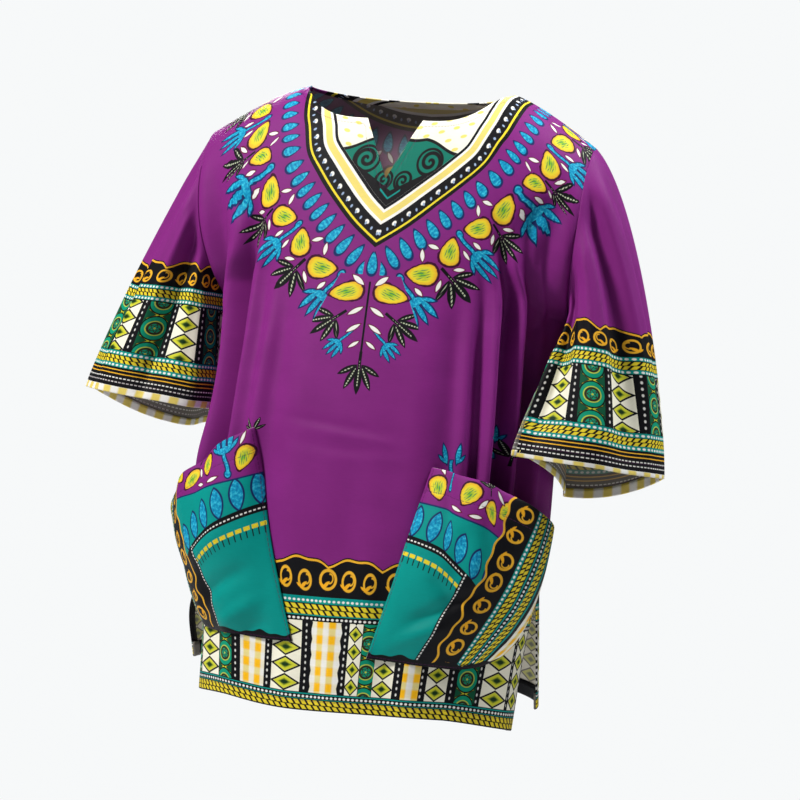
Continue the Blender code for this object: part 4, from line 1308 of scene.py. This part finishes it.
def bodyRegions(fields):
    x, v = fields["x"], fields["v"]
    inward = np.where(x > 0, fields["rightIn"], fields["leftIn"])
    halfSpray, sprayEnd = printReach["spray"]
    garland = (inward > printReach["garland"]) | ((np.abs(x) < halfSpray) & (v < sprayEnd))
    kinds = np.where(inward > printReach["yoke"], 1, np.where(garland, 2, 0))
    return np.where(v > bodyShape["length"] - printReach["hem"], 3, kinds)


def sleeveRegions(fields):
    return fields["h"] < printReach["cuff"]


def clothsOf(*names, choose=None):
    return {"materials": [cloths[n][0] for n in names], "reverses": [cloths[n][1] for n in names],
            "choose": choose}


print("shaping the cloth")
grids = {
    "front": bodyGrid(frontSections, frontFolds, frontCreases, bodyShape["neckDropFront"], True, -1),
    "back": bodyGrid(backSections, backFolds, backCreases, bodyShape["neckDropBack"], False, 1),
    "left": sleeveGrid("left"), "right": sleeveGrid("right"),
}


# Pieces that are sewn together roll under along one shared direction.
def shareSeams():
    front, back = grids["front"][1], grids["back"][1]
    rows = sleeveShape["armholeSteps"]
    shoulder = np.abs(columnPlaces()) >= bodyShape["neckHalfWidth"]
    front[0, shoulder] = back[0, shoulder] = unit(front[0, shoulder] + back[0, shoulder])
    slit = int(np.searchsorted(rowPlaces(), bodyShape["slitTop"]))
    for name, column in (("left", 0), ("right", -1)):
        sleeve = grids[name][1]
        shared = unit(front[rows:slit, column] + back[rows:slit, column])
        front[rows:slit, column] = back[rows:slit, column] = shared
        for body, ring in ((front, slice(rows, 2 * rows + 1)), (back, slice(rows, None, -1))):
            shared = unit(body[: rows + 1, column] + sleeve[0, ring])
            body[: rows + 1, column] = sleeve[0, ring] = shared


shareSeams()
made = {}
for name, sign in (("front", -1), ("back", 1)):
    grid, turned = turnEdges(*grids[name], (seam, hem))
    addNeckFields(turned, name)
    addStitchFields(turned, bodyStitches(turned, bodyShape["neckDrop" + name.title()], name == "front"))
    finish = clothsOf("field" if name == "front" else "plain", "yoke", "garland", "hem", choose=bodyRegions)
    made[name] = addCloth(name + "Panel", grid, 0 * grid + (0, sign, 0), turned, neckVectors, finish)
for name in ("left", "right"):
    added = [len(turnShape["angles"]) + len(rows) for rows in (seam, hem)]
    outward = np.pad(grids[name][1], (added, (added[0], added[0]), (0, 0)), mode="edge")
    grid, turned = turnEdges(*grids[name], (seam, hem))
    addStitchFields(turned, sleeveStitches(turned))
    turned["shown"] = 0 * turned["h"] + sleeveShape[name]["edgeShown"]
    vectors = {"flat": ("u", "v", None), **stitched, "cuffPlace": ("u", "h", "shown")}
    finish = clothsOf("plain", "sleeve", choose=sleeveRegions)
    made["sleeve_" + name] = addCloth(name + "Sleeve", grid, outward, turned, vectors, finish)
for name in ("left", "right"):
    grid, turned = turnEdges(*pocketGrid(name), (hem, seam))
    addStitchFields(turned, pocketStitches(turned))
    vectors = {"flat": ("u", "v", None), **stitched, "pocketPlace": ("across", "down", None)}
    finish = clothsOf("pocket" + name.title())
    made["pocket_" + name] = addCloth(name + "Pocket", grid, 0 * grid + (0, -1, 0), turned, vectors, finish)

# The model's parts of the same names are hidden, since the cloth pieces stand in for them.
for node, piece in made.items():
    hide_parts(node)

# Camera: originAt is the pixel where the origin of the shirt lies.
cameraSetup = {"azimuth": 17, "roll": 4.8, "distance": 2.2, "sensor": 36, "frameWidth": 0.688,
               "originAt": (415, 90), "pixels": 800}


def addCamera():
    azimuth, roll = math.radians(cameraSetup["azimuth"]), math.radians(cameraSetup["roll"])
    back = Vector((math.sin(azimuth), -math.cos(azimuth), 0))
    level, upright = Vector((math.cos(azimuth), math.sin(azimuth), 0)), Vector((0, 0, 1))
    right = level * math.cos(roll) + upright * math.sin(roll)
    up = upright * math.cos(roll) - level * math.sin(roll)
    pixel, middle = cameraSetup["frameWidth"] / cameraSetup["pixels"], cameraSetup["pixels"] / 2
    x, y = cameraSetup["originAt"]
    target = right * (middle - x) * pixel - up * (middle - y) * pixel
    bpy.ops.object.camera_add()
    camera = bpy.context.object
    camera.name = "viewCamera"
    camera.data.sensor_width = cameraSetup["sensor"]
    camera.data.lens = cameraSetup["sensor"] * cameraSetup["distance"] / cameraSetup["frameWidth"]
    turn = Matrix((right, up, back)).transposed()
    camera.matrix_world = Matrix.Translation(target + back * cameraSetup["distance"]) @ turn.to_4x4()
    bpy.context.scene.camera = camera


print("setting the camera and the studio")
addCamera()

studio = {
    "floorHeight": -1.05, "floorReach": 9.0, "floorSides": 96, "paintReach": (0.7, 2.4),
    "paint": (0.80, 0.81, 0.83), "paintRoughness": 0.6, "clean": 0.78, "fadeBlend": 0.2,
    "seen": (0.93, 0.945, 0.95), "air": (0.93, 0.96, 1.0), "airStrength": 0.09,
    "lights": {  # place, what it points at, size, power, colour
        "key": ((-1.15, -1.25, 1.3), (0, 0, -0.15), 0.42, 64, (1.0, 0.985, 0.96)),
        "top": ((0.8, 0.1, 1.05), (0.15, 0, -0.15), 0.3, 24, (0.96, 0.98, 1.0)),
        "rim": ((2.2, 1.0, 1.2), (0, 0, -0.15), 0.8, 12, (1.0, 1.0, 1.0)),
        "back": ((-1.4, 2.1, 1.5), (0, 0, -0.15), 0.9, 62, (1.0, 1.0, 1.0)),
    },
}


# The floor and the air look nearly white, and light the shirt less than they look.
def showPale(tree, lit, kind, share, output):
    ray = addNode(tree, "LightPath", {}, "Is Camera Ray")
    seen = addNode(tree, kind, {"Color": studio["seen"]})
    mixed = addNode(tree, "MixShader", {0: ray * share, 1: Value(tree, lit.outputs[0]), 2: seen})
    connect(tree, mixed, tree.nodes[output].inputs["Surface"])


def floorPaint():
    material = bpy.data.materials.new("palePaint")
    material.use_nodes = True
    tree = material.node_tree
    shader = tree.nodes["Principled BSDF"]
    connect(tree, studio["paint"], shader.inputs["Base Color"])
    connect(tree, studio["paintRoughness"], shader.inputs["Roughness"])
    near, wide = studio["paintReach"]
    far = addNode(tree, "TexCoord", {}, "Object").vector("MULTIPLY", (1, 1, 0)).vector("LENGTH")
    fade = far.scaled(1 / (wide - near), -near / (wide - near))
    fade = fade.math("SMOOTH_MIN", 1.0, studio["fadeBlend"]).most(studio["clean"])
    showPale(tree, shader, "Emission", fade, "Material Output")
    return material


def addFloor():
    bpy.ops.object.select_all(action="DESELECT")
    bpy.ops.mesh.primitive_circle_add(
        vertices=studio["floorSides"], radius=studio["floorReach"], fill_type="NGON")
    floor = bpy.context.object
    floor.name = "studioFloor"
    bpy.ops.object.mode_set(mode="EDIT")
    bpy.ops.mesh.inset(thickness=studio["floorReach"] - studio["paintReach"][1])
    bpy.ops.object.mode_set(mode="OBJECT")
    for vertex in floor.data.vertices:
        vertex.co.z = studio["floorHeight"]
    floor.data.materials.append(floorPaint())


def addAir():
    world = bpy.data.worlds.new("studioAir")
    world.use_nodes = True
    tree = world.node_tree
    air = tree.nodes["Background"]
    connect(tree, studio["air"], air.inputs["Color"])
    connect(tree, studio["airStrength"], air.inputs["Strength"])
    showPale(tree, air, "Background", 1.0, "World Output")
    bpy.context.scene.world = world


def addLights():
    for name, (place, aim, size, power, colour) in studio["lights"].items():
        bpy.ops.object.light_add(type="AREA", location=place)
        light = bpy.context.object
        light.name = name + "Light"
        light.data.size, light.data.energy, light.data.color = size, power, colour
        light.rotation_euler = (Vector(aim) - Vector(place)).to_track_quat("-Z", "Y").to_euler()


addFloor()
addAir()
addLights()
bpy.context.scene.view_settings.view_transform = "Standard"
